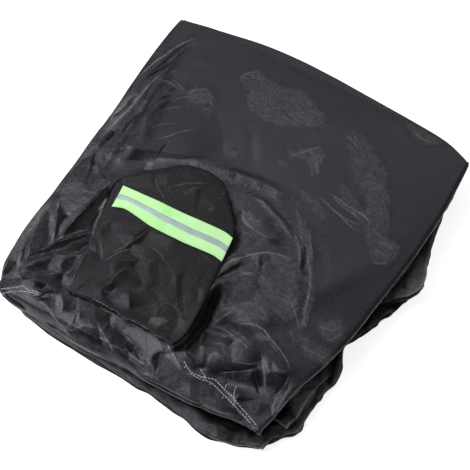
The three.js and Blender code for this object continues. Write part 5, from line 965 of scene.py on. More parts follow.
def cover_relief():
    cloth = Sheet(-236, 216, -262, 292, 0.6)
    x, s = cloth.x, cloth.s

    def joined(areas):
        return np.max([cloth.area(soft, points) for soft, *points in areas], axis=0)

    crumpled, rumpled, haze = joined(CRUMPLED), joined(RUMPLED), joined(HAZE)
    placed = cloth.area(6, *[points for _, _, *points in FACETS])
    slope = crumpled * smooth(-120, -165, s)
    side = crumpled * (1 - smooth(-120, -165, s))
    plain = np.clip(1 - crumpled - rumpled, 0, 1) * smooth(150, 60, x + 0.3 * s)
    for rise, left, right, start, end, *points in SOFT_FOLDS:
        cloth.crease(rise, left, right, start, end, *points)
    cloth.h = blurred(cloth.h, 5.0)
    for rise, left, right, start, end, *points in CREASES:
        cloth.crease(rise, left, right, start, end, *points)
    cloth.h = blurred(cloth.h, 0.8)
    cloth.scatter(1005, 40, rumpled * (1 - placed), (8, 28), (1.2, 3.2), (0.2, 0.6), 40, 50)
    cloth.scatter(1006, 50, plain, (10, 40), (1.4, 4.0), (0.12, 0.40), 60, 50)
    cloth.scatter(1007, 420, haze + 0.03, (3, 9), (1.0, 1.9), (0.08, 0.28), 40, 60, 0.7)
    patchy = 0.55 + 0.45 * wobble(x, s, 34.0, 11)
    loose = 1 - 0.75 * placed
    h = cloth.h
    h += side * loose * patchy * (0.9 * facets(x, s, 30, 15, 78, 0.5, 21) + 0.30 * facets(x, s, 13, 7, 62, 0.5, 31))
    h += slope * loose * (0.5 * facets(x, s, 24, 15, 35, 0.5, 41) + 0.25 * facets(x, s, 11, 7, 70, 0.5, 51))
    h += rumpled * loose * patchy * (0.6 * facets(x, s, 26, 15, 25, 0.5, 61)
                                     + 0.2 * facets(x, s, 12, 7, 50, 0.5, 71))
    h += 0.20 * facets(x, s, 34, 22, 15, 0.8, 81) + 0.25 * wobble(x, s, 48, 91)
    h += (0.11 * crumpled + 0.09 * rumpled + 0.16 * haze + 0.035) * facets(x, s, 4.2, 3.0, 40, 0.6, 101)
    h += cloth.tilted(FACETS, 26.0)
    thin_creases(cloth, LINES)
    toned(cloth, DEEP, PALE)
    cloth.h = cloth.h * (1 - cloth.area(5, pocket_outline(1.0)))
    left = table(POCKET_Y, POCKET_LEFT, s)
    beside = smooth(-160, -140, s) * (1 - smooth(34, 48, s)) * smooth(0.6, -0.5, x - left)
    cloth.h += (2.9 + table(POCKET_Y, POCKET_LIFT, s)) * beside * np.exp(-(np.clip(left - x, 0, None) / 12.0) ** 2)
    front = smooth(0.1, -0.8, s - POCKET_Y[0] - mouth_wave(x) + 0.9) * smooth(-14, 2, x - left) * (1 - smooth(-92, -76, x))
    cloth.h += 1.4 * front * np.exp(-(np.clip(POCKET_Y[0] + mouth_wave(x) - s, 0, None) / 9.0) ** 2)
    # haze: where fine wrinkles are, for a bumpier, rougher cloth with a painted sheen
    cloth.haze = np.clip(haze + 0.3 * crumpled * smooth(0.0, 0.3, wobble(x, s, 12, 111)), 0, 1)
    # web: how strongly a web of fine crease lines is painted as highlight
    cloth.web = np.clip(crumpled * (1 - 0.7 * smooth(40, 110, s)) + 0.7 * rumpled + 0.4 * haze + 0.06, 0, 1)
    return cloth


def rolled(points, side, radius, tuck, steps=5):
    """The grid with its edge on one side turned under, as a hem is."""
    p = points if side in ("right", "left") else points.transpose(1, 0, 2)
    flip = side in ("left", "front")
    if flip:
        p = p[:, ::-1]
    n = grid_normals(p)[:, -1]
    if (side in ("right", "back")) != (side in ("right", "left")):
        n = -n
    if side in ("left",):
        n = -n
    out = p[:, -1] - p[:, -3]
    out /= np.linalg.norm(out, axis=1, keepdims=True)
    up = np.where(n[:, 2:3] * 0 + (n * UP).sum(1, keepdims=True) < 0, -n, n) if side in ("right", "left") else n
    extra = []
    for k in range(1, steps + 1):
        a = math.pi * k / steps
        extra.append(p[:, -1] + out * radius * math.sin(a) - up * radius * (1 - math.cos(a)))
    extra.append(extra[-1] - out * tuck)
    p = np.concatenate([p, np.stack(extra, 1)], 1)
    if flip:
        p = p[:, ::-1]
    return p if side in ("right", "left") else p.transpose(1, 0, 2)


UP = np.array([0.0, 0.0, 1.0])


# ----------------------------------------------------------------- mesh making
def grid_quads(rows, columns):
    i, j = np.meshgrid(np.arange(rows - 1), np.arange(columns - 1), indexing="ij")
    a = (i * columns + j).ravel()
    return np.stack([a, a + 1, a + columns + 1, a + columns], -1)


def make_object(name, points, quads, material, **attributes):
    """An object from points in plan millimetres and quads."""
    points = (np.asarray(points, float).reshape(-1, 3) - ORIGIN) / 1000.0
    quads = np.asarray(quads, np.int32)
    mesh = bpy.data.meshes.new(name)
    mesh.vertices.add(len(points))
    mesh.vertices.foreach_set("co", points.astype(np.float32).ravel())
    mesh.loops.add(quads.size)
    mesh.loops.foreach_set("vertex_index", quads.ravel())
    mesh.polygons.add(len(quads))
    mesh.polygons.foreach_set("loop_start", np.arange(len(quads), dtype=np.int32) * quads.shape[1])
    mesh.polygons.foreach_set("use_smooth", np.ones(len(quads), bool))
    mesh.update(calc_edges=True)
    mesh.validate()
    for key, values in attributes.items():
        layer = mesh.attributes.new(key, "FLOAT", "POINT")
        layer.data.foreach_set("value", np.asarray(values, np.float32).ravel())
    obj = bpy.data.objects.new(name, mesh)
    bpy.context.scene.collection.objects.link(obj)
    obj.data.materials.append(material)
    return obj


def edge_pad(values, left=0, right=0, front=0, back=0, fill=None):
    mode = {"mode": "edge"} if fill is None else {"mode": "constant", "constant_values": fill}
    return np.pad(values, ((front, back), (left, right)), **mode)


# -------------------------------------------------------------- the top sheet
def build_top(cloth, material):
    """The top sheet in three meshes that share rows of points and their normals."""
    across = spaced((0, 0.30, 171), (0.30, 0.72, 177), (0.72, 1, 86))
    hem = np.linspace(0, 1, 25)
    along = spaced((0, 0.45, 266), (0.45, 0.75, 134), (0.75, 1, 80))
    behind = np.linspace(0, 1, 9)
    points, x, s = top_grid(across, hem, along, behind)
    normals = grid_normals(points)
    height = cloth.at(x, s)
    droop = 1.6 * smooth(0.985, 1.0, across)[None, :] ** 2
    points = points + normals * (CLOTH / 2 + height - droop)[..., None]
    haze, crest, fold, pale, web = (cloth.at(x, s, m) for m in (cloth.haze, cloth.crest, cloth.fold, cloth.pale,
                                                               cloth.web))
    wear = np.zeros_like(haze)
    steps = 5
    points = rolled(points, "right", 0.9, 2.5, steps)
    points = rolled(points, "left", 0.9, 2.5, steps)
    points = rolled(points, "front", 0.8, 6.0, steps)
    x, s, haze, wear, crest, fold, pale, web = (edge_pad(a, steps + 1, steps + 1, steps + 1)
                                                for a in (x, s, haze, wear, crest, fold, pale, web))
    # painted highlight along the rolled right, left and front edges
    far = wear.shape[1] - 1
    for k, amount in enumerate((0.25, 0.8, 1.0, 0.8, 0.3)):
        for rim, share in ((wear, 0.5), (crest, 0.45)):
            rim[:, far - steps - 1 + k] = share * amount
            rim[:, steps + 1 - k] = share * amount
            rim[steps + 1 - k, :] = np.maximum(rim[steps + 1 - k, :], 0.7 * share * amount)
    columns = points.shape[1]
    normals = grid_normals(points)
    third = len(points) // 3
    pieces = []
    for name, part in (("cover_top_front", slice(0, third + 1)), ("cover_top_middle", slice(third, 2 * third + 1)),
                       ("cover_top_back", slice(2 * third, len(points)))):
        obj = make_object(name, points[part], grid_quads(points[part].shape[0], columns), material,
                          haze=haze[part], wear=wear[part], crest=crest[part], fold=fold[part], pale=pale[part],
                          web=web[part])
        obj.data.normals_split_custom_set_from_vertices(normals[part].reshape(-1, 3).tolist())
        pieces.append(obj)
    return pieces, points, x, s


# ----------------------------------------------------------- the layers below
def build_layers(material):
    across = spaced((0, 0.05, 9), (0.05, 0.55, 14), (0.55, 0.8, 26), (0.8, 1, 44))
    along = spaced((0, 0.14, 30), (0.14, 1, 92))
    u = across[None, :]
    toned_at = Sheet(-260, 280, -262, 292, 1.0)
    dark, light = np.zeros_like(toned_at.x), np.zeros_like(toned_at.x)
    for amount, soft, *outline in LAYER_TONES:
        into = light if amount > 0 else dark
        np.maximum(into, abs(amount) * toned_at.area(soft, outline), out=into)
    rows, deep, bright = [], [], []
    for k in range(1, len(LAYERS)):
        pts = layer_point(k, u, along[:, None])
        from_front, from_right = pts[..., 1] - pts[:1, :, 1], pts[:, -1:, 0] - pts[..., 0]
        # painted shade inside the stack, growing away from the front and right edges
        stack_shade = 0.92 * smooth(5, 15, from_front) * smooth(11, 24, from_right)
        # painted sheen in facet patches near the right and front edges
        patch = 0.5 + facets(pts[..., 0], pts[..., 1], 17, 9, 35, 0.5, 900 + k)
        near = np.maximum(smooth(44, 14, from_right), smooth(26, 6, from_front))
        painted_sheen = near * (0.10 + 0.42 * smooth(0.35, 0.8, patch))
        # LAYER_TONES: its darker parts add painted shade, its paler parts painted sheen
        stack_shade = np.maximum(stack_shade, toned_at.at(pts[..., 0], pts[..., 1], dark) * near)
        lit = toned_at.at(pts[..., 0], pts[..., 1], light)
        painted_sheen, stack_shade = np.maximum(painted_sheen, lit * near), stack_shade * (1 - 1.6 * np.clip(lit, 0, 0.6))
        pts = ruffled(k, pts, u)
        if k == len(LAYERS) - 1:
            pts = pts - np.array([0, 0, 0.55])
        if k % 2:
            pts, stack_shade, painted_sheen = pts[::-1], stack_shade[::-1], painted_sheen[::-1]
        if rows:
            previous = rows[-1][-1]
            outward = 1.0 if k % 2 else -1.0
            rows.append(bend(previous, pts[0], outward, np.linspace(0, 1, 8)[1:-1]))
            deep.append(np.zeros(rows[-1].shape[:2]))
            bright.append(np.zeros(rows[-1].shape[:2]))
        rows.append(pts)
        deep.append(stack_shade)
        bright.append(painted_sheen)
    points = np.concatenate(rows)
    points[..., 2] = np.maximum(points[..., 2], 0.2)
    n_rows, columns = points.shape[:2]
    # painted highlight along the side edges of the layers
    crest = np.zeros((n_rows, columns))
    crest[:, -2:] = 0.45
    crest[:, :2] = 0.45
    haze, wear = np.zeros_like(crest) + 0.25, 0.15 * crest
    return make_object("cover_layers", points, grid_quads(n_rows, columns), material, haze=haze, wear=wear,
                       crest=crest, fold=np.concatenate(deep), pale=np.concatenate(bright),
                       web=np.zeros_like(crest) + 0.9)


def ruffled(k, pts, u):
    """Uneven lie of a lower layer, growing towards its right and front edges."""
    x, y = pts[..., 0], pts[..., 1]
    near_right = smooth(0.72, 1.0, u) * np.ones_like(x)
    near_front = smooth(-150, -205, y)
    near = np.clip(near_right + 0.6 * near_front, 0, 1)
    past = smooth(-4, 10, x - table(SIDES_Y, SIDE_TOP, y))
    inner = 0.0 if k == len(LAYERS) - 1 else 1.0
    dz = inner * near * (1.1 * wobble(x, y, 19, 200 + k) + 1.5 * facets(x, y, 12, 7, 20, 0.6, 220 + 7 * k)
                         + 0.5 * facets(x, y, 6, 4, 60, 0.5, 240 + 7 * k))
    dz = dz + inner * past * 1.6 * wobble(x, y, 11, 260 + k)
    dx = near_right * (2.2 * wobble(x * 0.3, y, 15, 300 + k) + 0.9 * wobble(x * 0.3, y, 6, 320 + k))
    dy = near_front * 1.4 * wobble(x, y * 0.3, 17, 340 + k)
    return pts + np.stack([dx, dy, dz], -1)


# ------------------------------------------------------------ the mirror pocket
def pocket_relief():
    bag = Sheet(-160, 36, -176, 56, 0.6)
    x, y = bag.x, bag.s
    placed = bag.area(5, *[points for _, _, *points in POCKET_FACETS])
    soft = (0.6 + 0.4 * wobble(x, y, 30, 401)) * (1 - 0.6 * placed)
    bag.scatter(1101, 30, 1.02 - placed, (8, 34), (1.0, 2.8), (0.15, 0.5), 30, 60)
    bag.h += soft * (0.45 * facets(x, y, 24, 14, 20, 0.8, 411) + 0.15 * facets(x, y, 9, 5, 65, 0.6, 421))
    bag.h += 0.6 * wobble(x, y, 40, 431) + 0.03 * facets(x, y, 4.2, 3.2, 30, 0.6, 441)
    bag.h += bag.tilted(POCKET_FACETS, 20.0)
    thin_creases(bag, POCKET_LINES)
    toned(bag, POCKET_DEEP, POCKET_PALE)
    bag.h = blurred(bag.h, 0.35)
    return bag


def pocket_plan(parts, steps):
    """Plan points of the bag: parts across from the left seam, steps from the
    mouth to the end of the dome, whose end is an arc."""
    y = mix(POCKET_Y[0], POCKET_Y[-1], steps)
    left = table(POCKET_Y, POCKET_LEFT, y)
    right = table(POCKET_Y, POCKET_RIGHT, y)
    x = mix(left, right, parts)
    bow = 1 - (2 * parts - 1) ** 2
    y = y + 3.5 * bow * smooth(0.75, 1, steps)
    return x, y


def mouth_wave(x):
    return 1.6 * wobble(x, 0 * x, 21, 453) + 1.0 * wobble(x, 0 * x, 8, 454)


def pocket_under(x, y):
    return stack_height(x, y) + CLOTH / 2 + PIECE_GAP + table(POCKET_Y, POCKET_LIFT, y) * smooth(-118, -66, x)


def pocket_rise(x, y, bag, rim):
    """Height of the upper ply above the lower one."""
    left = table(POCKET_Y, POCKET_LEFT, y)
    right = table(POCKET_Y, POCKET_RIGHT, y)
    part = np.clip((x - left) / (right - left), 0, 1)
    air = mix(0.5, table(POCKET_Y, POCKET_AIR, y), 1 - np.abs(2 * part - 1) ** 2.6)
    away = np.full(x.shape, 1e9)
    for bx, by in rim:
        away = np.minimum(away, (x - bx) ** 2 + (y - by) ** 2)
    away = np.sqrt(away)
    radius = mix(1.4, 5.0, smooth(0.05, 0.5, part))
    edge = np.sqrt(np.clip(1 - (1 - np.clip(away / radius, 0, 1)) ** 2, 0, 1))
    return (2 * PLY + air) * (0.12 + 0.88 * edge) + bag.at(x, y) * smooth(0, 7, away)


def build_pocket(bag, material):
    parts = spaced((0, 0.06, 10), (0.06, 0.94, 168), (0.94, 1, 10))
    steps = spaced((0, 0.04, 8), (0.04, 0.94, 218), (0.94, 1, 14))
    x, y = pocket_plan(parts[None, :], steps[:, None])
    seam = np.concatenate([np.stack([x[::3, 0], y[::3, 0]], -1), np.stack([x[::3, -1], y[::3, -1]], -1),
                           np.stack([x[-1, ::2], y[-1, ::2]], -1),
                           np.stack([x[0], y[0]], -1)[x[0] < -88]])
    under = pocket_under(x, y)
    mouth = smooth(-150, -163, y) * smooth(-96, -66, x)
    wave = 1.6 * wobble(x, y * 0.3, 24, 451) + 0.8 * wobble(x, y * 0.3, 9, 452)
    rise = pocket_rise(x, y, bag, seam) + mouth * (1.2 + wave)
    upper = np.stack([x, y + smooth(-152, -163, y) * mouth_wave(x), under + np.maximum(rise, 0.8)], -1)
    lower = np.stack([x, y, under], -1)
    upper = rolled(upper, "front", 0.6, 4.0, 5)
    rows, columns = upper.shape[:2]
    points = [upper.reshape(-1, 3), lower.reshape(-1, 3)]
    quads = [grid_quads(rows, columns)]
    start = rows * columns
    low_rows, low_columns = lower.shape[:2]
    quads.append(grid_quads(low_rows, low_columns)[:, ::-1] + start)
    shift = rows - low_rows

    def top_index(i, j):
        return (i + shift) * columns + j

    def low_index(i, j):
        return start + i * low_columns + j

    walls = []
    for i in range(low_rows - 1):
        walls.append((low_index(i, 0), top_index(i, 0), top_index(i + 1, 0), low_index(i + 1, 0)))
        j = low_columns - 1
        walls.append((top_index(i, j), low_index(i, j), low_index(i + 1, j), top_index(i + 1, j)))
    i = low_rows - 1
    for j in range(low_columns - 1):
        walls.append((top_index(i, j), top_index(i, j + 1), low_index(i, j + 1), low_index(i, j)))
    quads.append(np.array(walls))
    # painted highlight along the rolled mouth of the pocket
    wear = np.zeros((rows, columns))
    for k, amount in enumerate((0.3, 0.9, 1.0, 0.8, 0.3)):
        wear[6 - k, :] = amount
    below = np.zeros(low_rows * low_columns)
    wear = np.concatenate([wear.ravel(), below])
    shown = [edge_pad(bag.at(x, y, m), front=rows - low_rows) for m in (bag.crest, bag.fold, bag.pale)]
    crest, fold, pale = (np.concatenate([m.ravel(), below]) for m in shown)
    obj = make_object("pocket_bag", np.concatenate(points), np.concatenate(quads), material,
                      haze=np.zeros_like(wear), wear=wear, crest=crest, fold=fold, pale=pale,
                      web=np.zeros_like(wear) + 0.35)
    return obj, seam


# ------------------------------------------------------- ribbon and its stripe
def strip_points(width, along, across, height, bag, seam, curl):
    """Upper surface of a strip that lies on the pocket along the ribbon."""
    s = np.linspace(0, 1, along)[None, :]
    w = np.linspace(-0.5, 0.5, across)[:, None]
    skew = mix(RIBBON_SKEW[0], RIBBON_SKEW[1], s) * (width / RIBBON_WIDTH)
    x = mix(RIBBON_LEFT[0], RIBBON_RIGHT[0], s) + 2 * w * skew
    upper, lower = table(RIBBON_S, RIBBON_UPPER, s), table(RIBBON_S, RIBBON_LOWER, s)
    y = mix(lower, upper, 0.5 + w * width / RIBBON_WIDTH)
    ground = pocket_under(x, y) + pocket_rise(x, y, bag, seam)
    ground = blurred(ground, 2.5)
    lift = curl * smooth(0.62, 1.0, np.abs(2 * w)) ** 2 * (0.5 + 0.5 * wobble(x, y * 0.2, 33, 501))
    return np.stack([x + 0 * y, y + 0 * x, ground + PIECE_GAP + height + lift], -1)


def build_strip(name, width, along, across, height, thick, bag, seam, curl, material):
    top = strip_points(width, along, across, height, bag, seam, curl)
    n = grid_normals(top)
    low = top - n * thick
    rows, columns = top.shape[:2]
    count = rows * columns
    quads = [grid_quads(rows, columns), grid_quads(rows, columns)[:, ::-1] + count]
    ring = ([i * columns for i in range(rows - 1, -1, -1)] + [j for j in range(1, columns)]
            + [i * columns + columns - 1 for i in range(1, rows)]
            + [(rows - 1) * columns + j for j in range(columns - 2, 0, -1)])
    ring = np.array(ring)
    after = np.roll(ring, -1)
    quads.append(np.stack([ring, ring + count, after + count, after], -1))
    across_at = np.repeat(np.linspace(-0.5, 0.5, across), along)
    along_at = np.tile(np.linspace(0, 1, along), across)
    return make_object(name, np.concatenate([top.reshape(-1, 3), low.reshape(-1, 3)]), np.concatenate(quads),
                       material, across=np.tile(across_at, 2), along=np.tile(along_at, 2))


# ------------------------------------------------------------------- stitching
def surface_finder(points, x, s):
    """A function from a place on the cloth to the point and normal there."""
    from mathutils import kdtree
    rows, columns = x.shape
    tree = kdtree.KDTree(x.size)
    for k, (a, b) in enumerate(zip(x.ravel().tolist(), s.ravel().tolist())):
        tree.insert((a, b, 0.0), k)
    tree.balance()

    def find(px, ps):
        _, k, _ = tree.find((px, ps, 0.0))
        i, j = divmod(k, columns)
        i, j = min(max(i, 1), rows - 2), min(max(j, 1), columns - 2)
        du, dv = (points[i, j + 1] - points[i, j - 1]) / 2, (points[i + 1, j] - points[i - 1, j]) / 2
        jac = np.array([[(x[i, j + 1] - x[i, j - 1]) / 2, (x[i + 1, j] - x[i - 1, j]) / 2],
                        [(s[i, j + 1] - s[i, j - 1]) / 2, (s[i + 1, j] - s[i - 1, j]) / 2]])
        try:
            t = np.clip(np.linalg.solve(jac, np.array([px - x[i, j], ps - s[i, j]])), -1.5, 1.5)
        except np.linalg.LinAlgError:
            t = np.zeros(2)
        n = np.cross(du, dv)
        return points[i, j] + du * t[0] + dv * t[1], n / np.linalg.norm(n)

    return find


def capsule(a, b, up, radius, sides=6):
    """A short thread from a to b: rings of points and its faces as quads."""
    d = b - a
    d = d / max(np.linalg.norm(d), 1e-9)
    w = np.cross(d, up)
    w /= max(np.linalg.norm(w), 1e-9)
    n = np.cross(w, d)
    rings = [(0.0, 0.35), (0.18, 0.9), (0.5, 1.0), (0.82, 0.9), (1.0, 0.35)]
    pts = []
    for t, r in rings:
        c = a + (b - a) * t
        for k in range(sides):
            q = 2 * math.pi * k / sides
            pts.append(c + (w * math.cos(q) + n * math.sin(q)) * radius * r)
    faces = []
    for i in range(len(rings) - 1):
        for k in range(sides):
            m = (k + 1) % sides
            faces.append((i * sides + k, i * sides + m, (i + 1) * sides + m, (i + 1) * sides + k))
    last = (len(rings) - 1) * sides
    for base, order in ((0, -1), (last, 1)):
        ring = [base + k for k in range(sides)][::order]
        faces.append((ring[0], ring[1], ring[2], ring[3]))
        faces.append((ring[3], ring[4], ring[5], ring[0]))
    return pts, faces


def build_stitches(find, material):
    rng = np.random.default_rng(77)
    points, quads = [], []

    def add(a, b, up, radius):
        pts, faces = capsule(a, b, up, radius)
        start = len(points)
        points.extend(pts)
        quads.extend([[start + c for c in f] for f in faces])

    for length, gap, radius, *line in STITCH_ROWS:
        path = curve_through(np.array(line, float), 0.4)
        run = np.concatenate([[0], np.cumsum(np.linalg.norm(np.diff(path, axis=0), axis=1))])
        at = 0.0
        while at + length < run[-1]:
            ends = []
            for q in (at, at + length * rng.uniform(0.85, 1.1)):
                px, ps = np.interp(q, run, path[:, 0]), np.interp(q, run, path[:, 1])
                p, n = find(px + rng.uniform(-0.15, 0.15), ps + rng.uniform(-0.15, 0.15))
                ends.append((p + n * radius * 0.5, n))
            add(ends[0][0], ends[1][0], ends[0][1], radius)
            at += length + gap * rng.uniform(0.7, 1.3)
    for radius, *line in LOOSE_ENDS:
        path = curve_through(np.array([c[:2] for c in line], float), 1.2)
        lifts = np.interp(np.linspace(0, 1, len(path)), np.linspace(0, 1, len(line)), [c[2] for c in line])
        spots = []
        for (px, ps), lift in zip(path, lifts):
            p, n = find(px, ps)
            spots.append((p + n * (radius + lift), n))
        for (a, n), (b, _) in zip(spots[:-1], spots[1:]):
            add(a, b, n, radius)
    return make_object("hem_stitching", np.array(points), np.array(quads), material)


# ------------------------------------------------------------------- materials
class Nodes:
    def __init__(self, name):
        self.material = bpy.data.materials.new(name)
        self.material.use_nodes = True
        self.tree = self.material.node_tree
        self.shader = self.tree.nodes["Principled BSDF"]

    def add(self, kind, inputs=None, **settings):
        node = self.tree.nodes.new(kind)
        for key, value in settings.items():
            setattr(node, key, value)
        for key, value in (inputs or {}).items():
            if isinstance(value, bpy.types.NodeSocket):
                self.tree.links.new(value, node.inputs[key])
            else:
                node.inputs[key].default_value = value
        return node

    def link(self, socket, name):
        self.tree.links.new(socket, self.shader.inputs[name])

    def place(self):
        return self.add("ShaderNodeTexCoord").outputs["Object"]

    def noise(self, place, scale, detail=2.0, rough=0.5, stretch=None):
        if stretch is not None:
            place = self.add("ShaderNodeMapping", {"Vector": place, "Scale": stretch}).outputs["Vector"]
        return self.add("ShaderNodeTexNoise", {"Vector": place, "Scale": scale, "Detail": detail,
                                              "Roughness": rough}).outputs["Fac"]

    def span(self, value, low, high, to_low=0.0, to_high=1.0):
        node = self.add("ShaderNodeMapRange", {"Value": value, "From Min": low, "From Max": high,
                                               "To Min": to_low, "To Max": to_high})
        return node.outputs["Result"]

    def math(self, kind, a, b=0.0):
        return self.add("ShaderNodeMath", {0: a, 1: b}, operation=kind).outputs[0]

    def blend(self, factor, a, b):
        node = self.add("ShaderNodeMix", data_type="RGBA")
        for key, value in ((0, factor), (6, a), (7, b)):
            if isinstance(value, bpy.types.NodeSocket):
                self.tree.links.new(value, node.inputs[key])
            else:
                node.inputs[key].default_value = value
        return node.outputs[2]

    def bump(self, height, distance, strength, normal=None):
        inputs = {"Height": height, "Distance": distance, "Strength": strength}
        if normal is not None:
            inputs["Normal"] = normal
        return self.add("ShaderNodeBump", inputs).outputs["Normal"]


def rgb(r, g, b):
    return (r, g, b, 1.0)


def cloth_material(name, dark, light, roughness, overlay, specular):
    """Black coated woven cloth: fine weave and small wrinkles where it has been crumpled,
    with a painted sheen on them, painted highlights along crests, fine creases and
    rolled edges, and painted shade in deep folds."""
    m = Nodes(name)
    place = m.place()
    haze = m.add("ShaderNodeAttribute", attribute_name="haze").outputs["Fac"]
    wear = m.add("ShaderNodeAttribute", attribute_name="wear").outputs["Fac"]
    crest = m.add("ShaderNodeAttribute", attribute_name="crest").outputs["Fac"]
    fold = m.add("ShaderNodeAttribute", attribute_name="fold").outputs["Fac"]
    pale = m.add("ShaderNodeAttribute", attribute_name="pale").outputs["Fac"]
    web = m.add("ShaderNodeAttribute", attribute_name="web").outputs["Fac"]
    cloud = m.noise(place, 22.0, 3.0)
    grain = m.noise(place, 700.0, 3.0, 0.7)
    streaks = m.span(m.noise(place, 150.0, 5.0, 0.75, (1.0, 2.2, 1.0)), 0.38, 0.66)
    tone = m.span(cloud, 0.3, 0.7)
    base = m.blend(tone, dark, light)
    base = m.blend(m.math("MULTIPLY", m.span(grain, 0.42, 0.66), 0.35), base, rgb(*(2.6 * c for c in light[:3])))
    # painted sheen on patches of fine wrinkles, in streaks
    ragged = m.math("ADD", haze, m.span(m.noise(place, 75.0, 4.0, 0.75, (1.0, 2.0, 1.0)), 0.3, 0.7, -0.55, 0.35))
    painted_sheen = m.math("MULTIPLY", m.span(ragged, 0.25, 0.95), m.span(streaks, 0.0, 1.0, 0.12, 0.62))
    base = m.blend(painted_sheen, base, rgb(0.12, 0.118, 0.125))
    # painted highlight on facets that catch the light
    painted_sheen = m.math("MULTIPLY", pale, m.span(streaks, 0.0, 1.0, 0.55, 1.25))
    base = m.blend(painted_sheen, base, rgb(0.15, 0.147, 0.155))
    # painted highlight along rolled edges, broken up by noise, in the overlay colour
    frayed_edge_highlight = m.math("MULTIPLY", wear, m.span(m.noise(place, 260.0, 2.0), 0.42, 0.62))
    jagged = m.span(m.noise(place, 330.0, 4.0, 0.7), 0.38, 0.60, 0.30, 1.15)
    # painted highlight along ridge crests and beside troughs, made jagged by noise
    base = m.blend(m.math("MULTIPLY", crest, jagged), base, rgb(0.33, 0.33, 0.34))
    # painted highlight along a web of fine crease lines
    bent = m.add("ShaderNodeVectorMath", {0: place, 1: m.add("ShaderNodeVectorMath", {
        0: m.add("ShaderNodeTexNoise", {"Vector": place, "Scale": 45.0, "Detail": 3.0}).outputs["Color"],
        1: (0.016, 0.016, 0.016)}, operation="MULTIPLY").outputs["Vector"]}, operation="ADD").outputs["Vector"]
    lines = []
    for scale, turn, width, amount in ((58.0, 0.9, 0.050, 0.42), (120.0, 0.3, 0.075, 0.30)):
        turned = m.add("ShaderNodeMapping", {"Vector": bent, "Rotation": (0.0, 0.0, turn),
                                             "Scale": (1.0, 2.4, 1.0)}).outputs["Vector"]
        rim = m.add("ShaderNodeTexVoronoi", {"Vector": turned, "Scale": scale},
                    feature="DISTANCE_TO_EDGE").outputs["Distance"]
        broken = m.span(m.noise(place, scale * 0.8, 3.0, 0.6), 0.48, 0.66)
        lines.append(m.math("MULTIPLY", m.span(rim, 0.0, width, amount, 0.0), broken))
    crease_highlight = m.math("MULTIPLY", m.math("ADD", lines[0], lines[1]), web)
    base = m.blend(crease_highlight, base, rgb(0.24, 0.24, 0.25))
    base = m.blend(frayed_edge_highlight, base, overlay)
    # painted shade: near-black colour in deep folds, troughs and inside the stack, with the specular turned down there
    # too (below)
    base = m.blend(fold, base, rgb(0.002, 0.002, 0.002))
    m.link(base, "Base Color")
    rough = m.math("ADD", m.span(cloud, 0.3, 0.7, roughness - 0.04, roughness + 0.05),
                   m.math("MULTIPLY", haze, 0.08))
    m.link(rough, "Roughness")
    glint = m.span(m.noise(place, 520.0, 3.0, 0.7), 0.36, 0.64, 0.82, 1.18)
    m.link(m.math("MULTIPLY", m.span(fold, 0.0, 1.0, specular, 0.06 * specular), glint), "Specular IOR Level")
    m.shader.inputs["Specular Tint"].default_value = rgb(0.93, 0.885, 1.0)
    threads = m.add("ShaderNodeTexWave", {"Vector": place, "Scale": 420.0, "Distortion": 0.6, "Detail": 1.0},
                    wave_type="BANDS", bands_direction="X").outputs["Fac"]
    threads2 = m.add("ShaderNodeTexWave", {"Vector": place, "Scale": 420.0, "Distortion": 0.6, "Detail": 1.0},
                     wave_type="BANDS", bands_direction="Y").outputs["Fac"]
    weave = m.math("ADD", threads, threads2)
    normal = m.bump(weave, 0.00004, 0.6)
    small = m.noise(place, 420.0, 4.0, 0.7)
    normal = m.bump(m.math("MULTIPLY", small, m.span(haze, 0.0, 1.0, 0.6, 2.2)), 0.0006, 1.0, normal)
    m.link(normal, "Normal")
    return m.material


def ribbon_material(name):
    m = Nodes(name)
    place = m.place()
    across = m.add("ShaderNodeAttribute", attribute_name="across").outputs["Fac"]
    along = m.add("ShaderNodeAttribute", attribute_name="along").outputs["Fac"]
    cloud = m.noise(place, 60.0, 3.0)
    base = m.blend(m.span(cloud, 0.3, 0.7), rgb(0.56, 0.94, 0.45), rgb(0.64, 0.99, 0.53))
    ribs = m.math("SINE", m.math("MULTIPLY", along, 880.0))
    base = m.blend(m.span(ribs, -1.0, 1.0, 0.0, 0.16), base, rgb(0.40, 0.84, 0.28))
    lap = m.math("MULTIPLY", m.span(along, 0.385, 0.395), m.span(along, 0.485, 0.475))
    base = m.blend(m.math("MULTIPLY", lap, 0.55), base, rgb(0.34, 0.90, 0.24))
    overlay = m.span(m.noise(place, 55.0, 3.0, 0.6, (1.0, 0.5, 1.0)), 0.52, 0.72)
    base = m.blend(m.math("MULTIPLY", overlay, 0.4), base, rgb(0.36, 0.90, 0.26))
    side = m.span(m.math("ABSOLUTE", across), 0.465, 0.495)
    base = m.blend(m.math("MULTIPLY", side, 0.5), base, rgb(0.32, 0.80, 0.20))
    m.link(base, "Base Color")
    m.shader.inputs["Roughness"].default_value = 0.62
    # painted light: the ribbon glows a little on top of its lighting
    m.shader.inputs["Emission Color"].default_value = rgb(0.54, 1.0, 0.38)
    m.shader.inputs["Emission Strength"].default_value = 0.24
    m.shader.inputs["Specular IOR Level"].default_value = 0.35
    m.shader.inputs["Sheen Weight"].default_value = 0.15
    m.link(m.bump(ribs, 0.00010, 0.7), "Normal")
    return m.material


def tape_material(name):
    m = Nodes(name)
    place = m.place()
    cells = m.add("ShaderNodeTexVoronoi", {"Vector": place, "Scale": 1500.0}, feature="F1").outputs["Distance"]
    cloud = m.noise(place, 90.0, 3.0)
    base = m.blend(m.span(cloud, 0.3, 0.7), rgb(0.43, 0.55, 0.55), rgb(0.56, 0.69, 0.69))
    m.link(base, "Base Color")
    m.shader.inputs["Metallic"].default_value = 0.35
    m.shader.inputs["Roughness"].default_value = 0.42
    m.link(m.bump(cells, 0.00006, 0.6), "Normal")
    return m.material


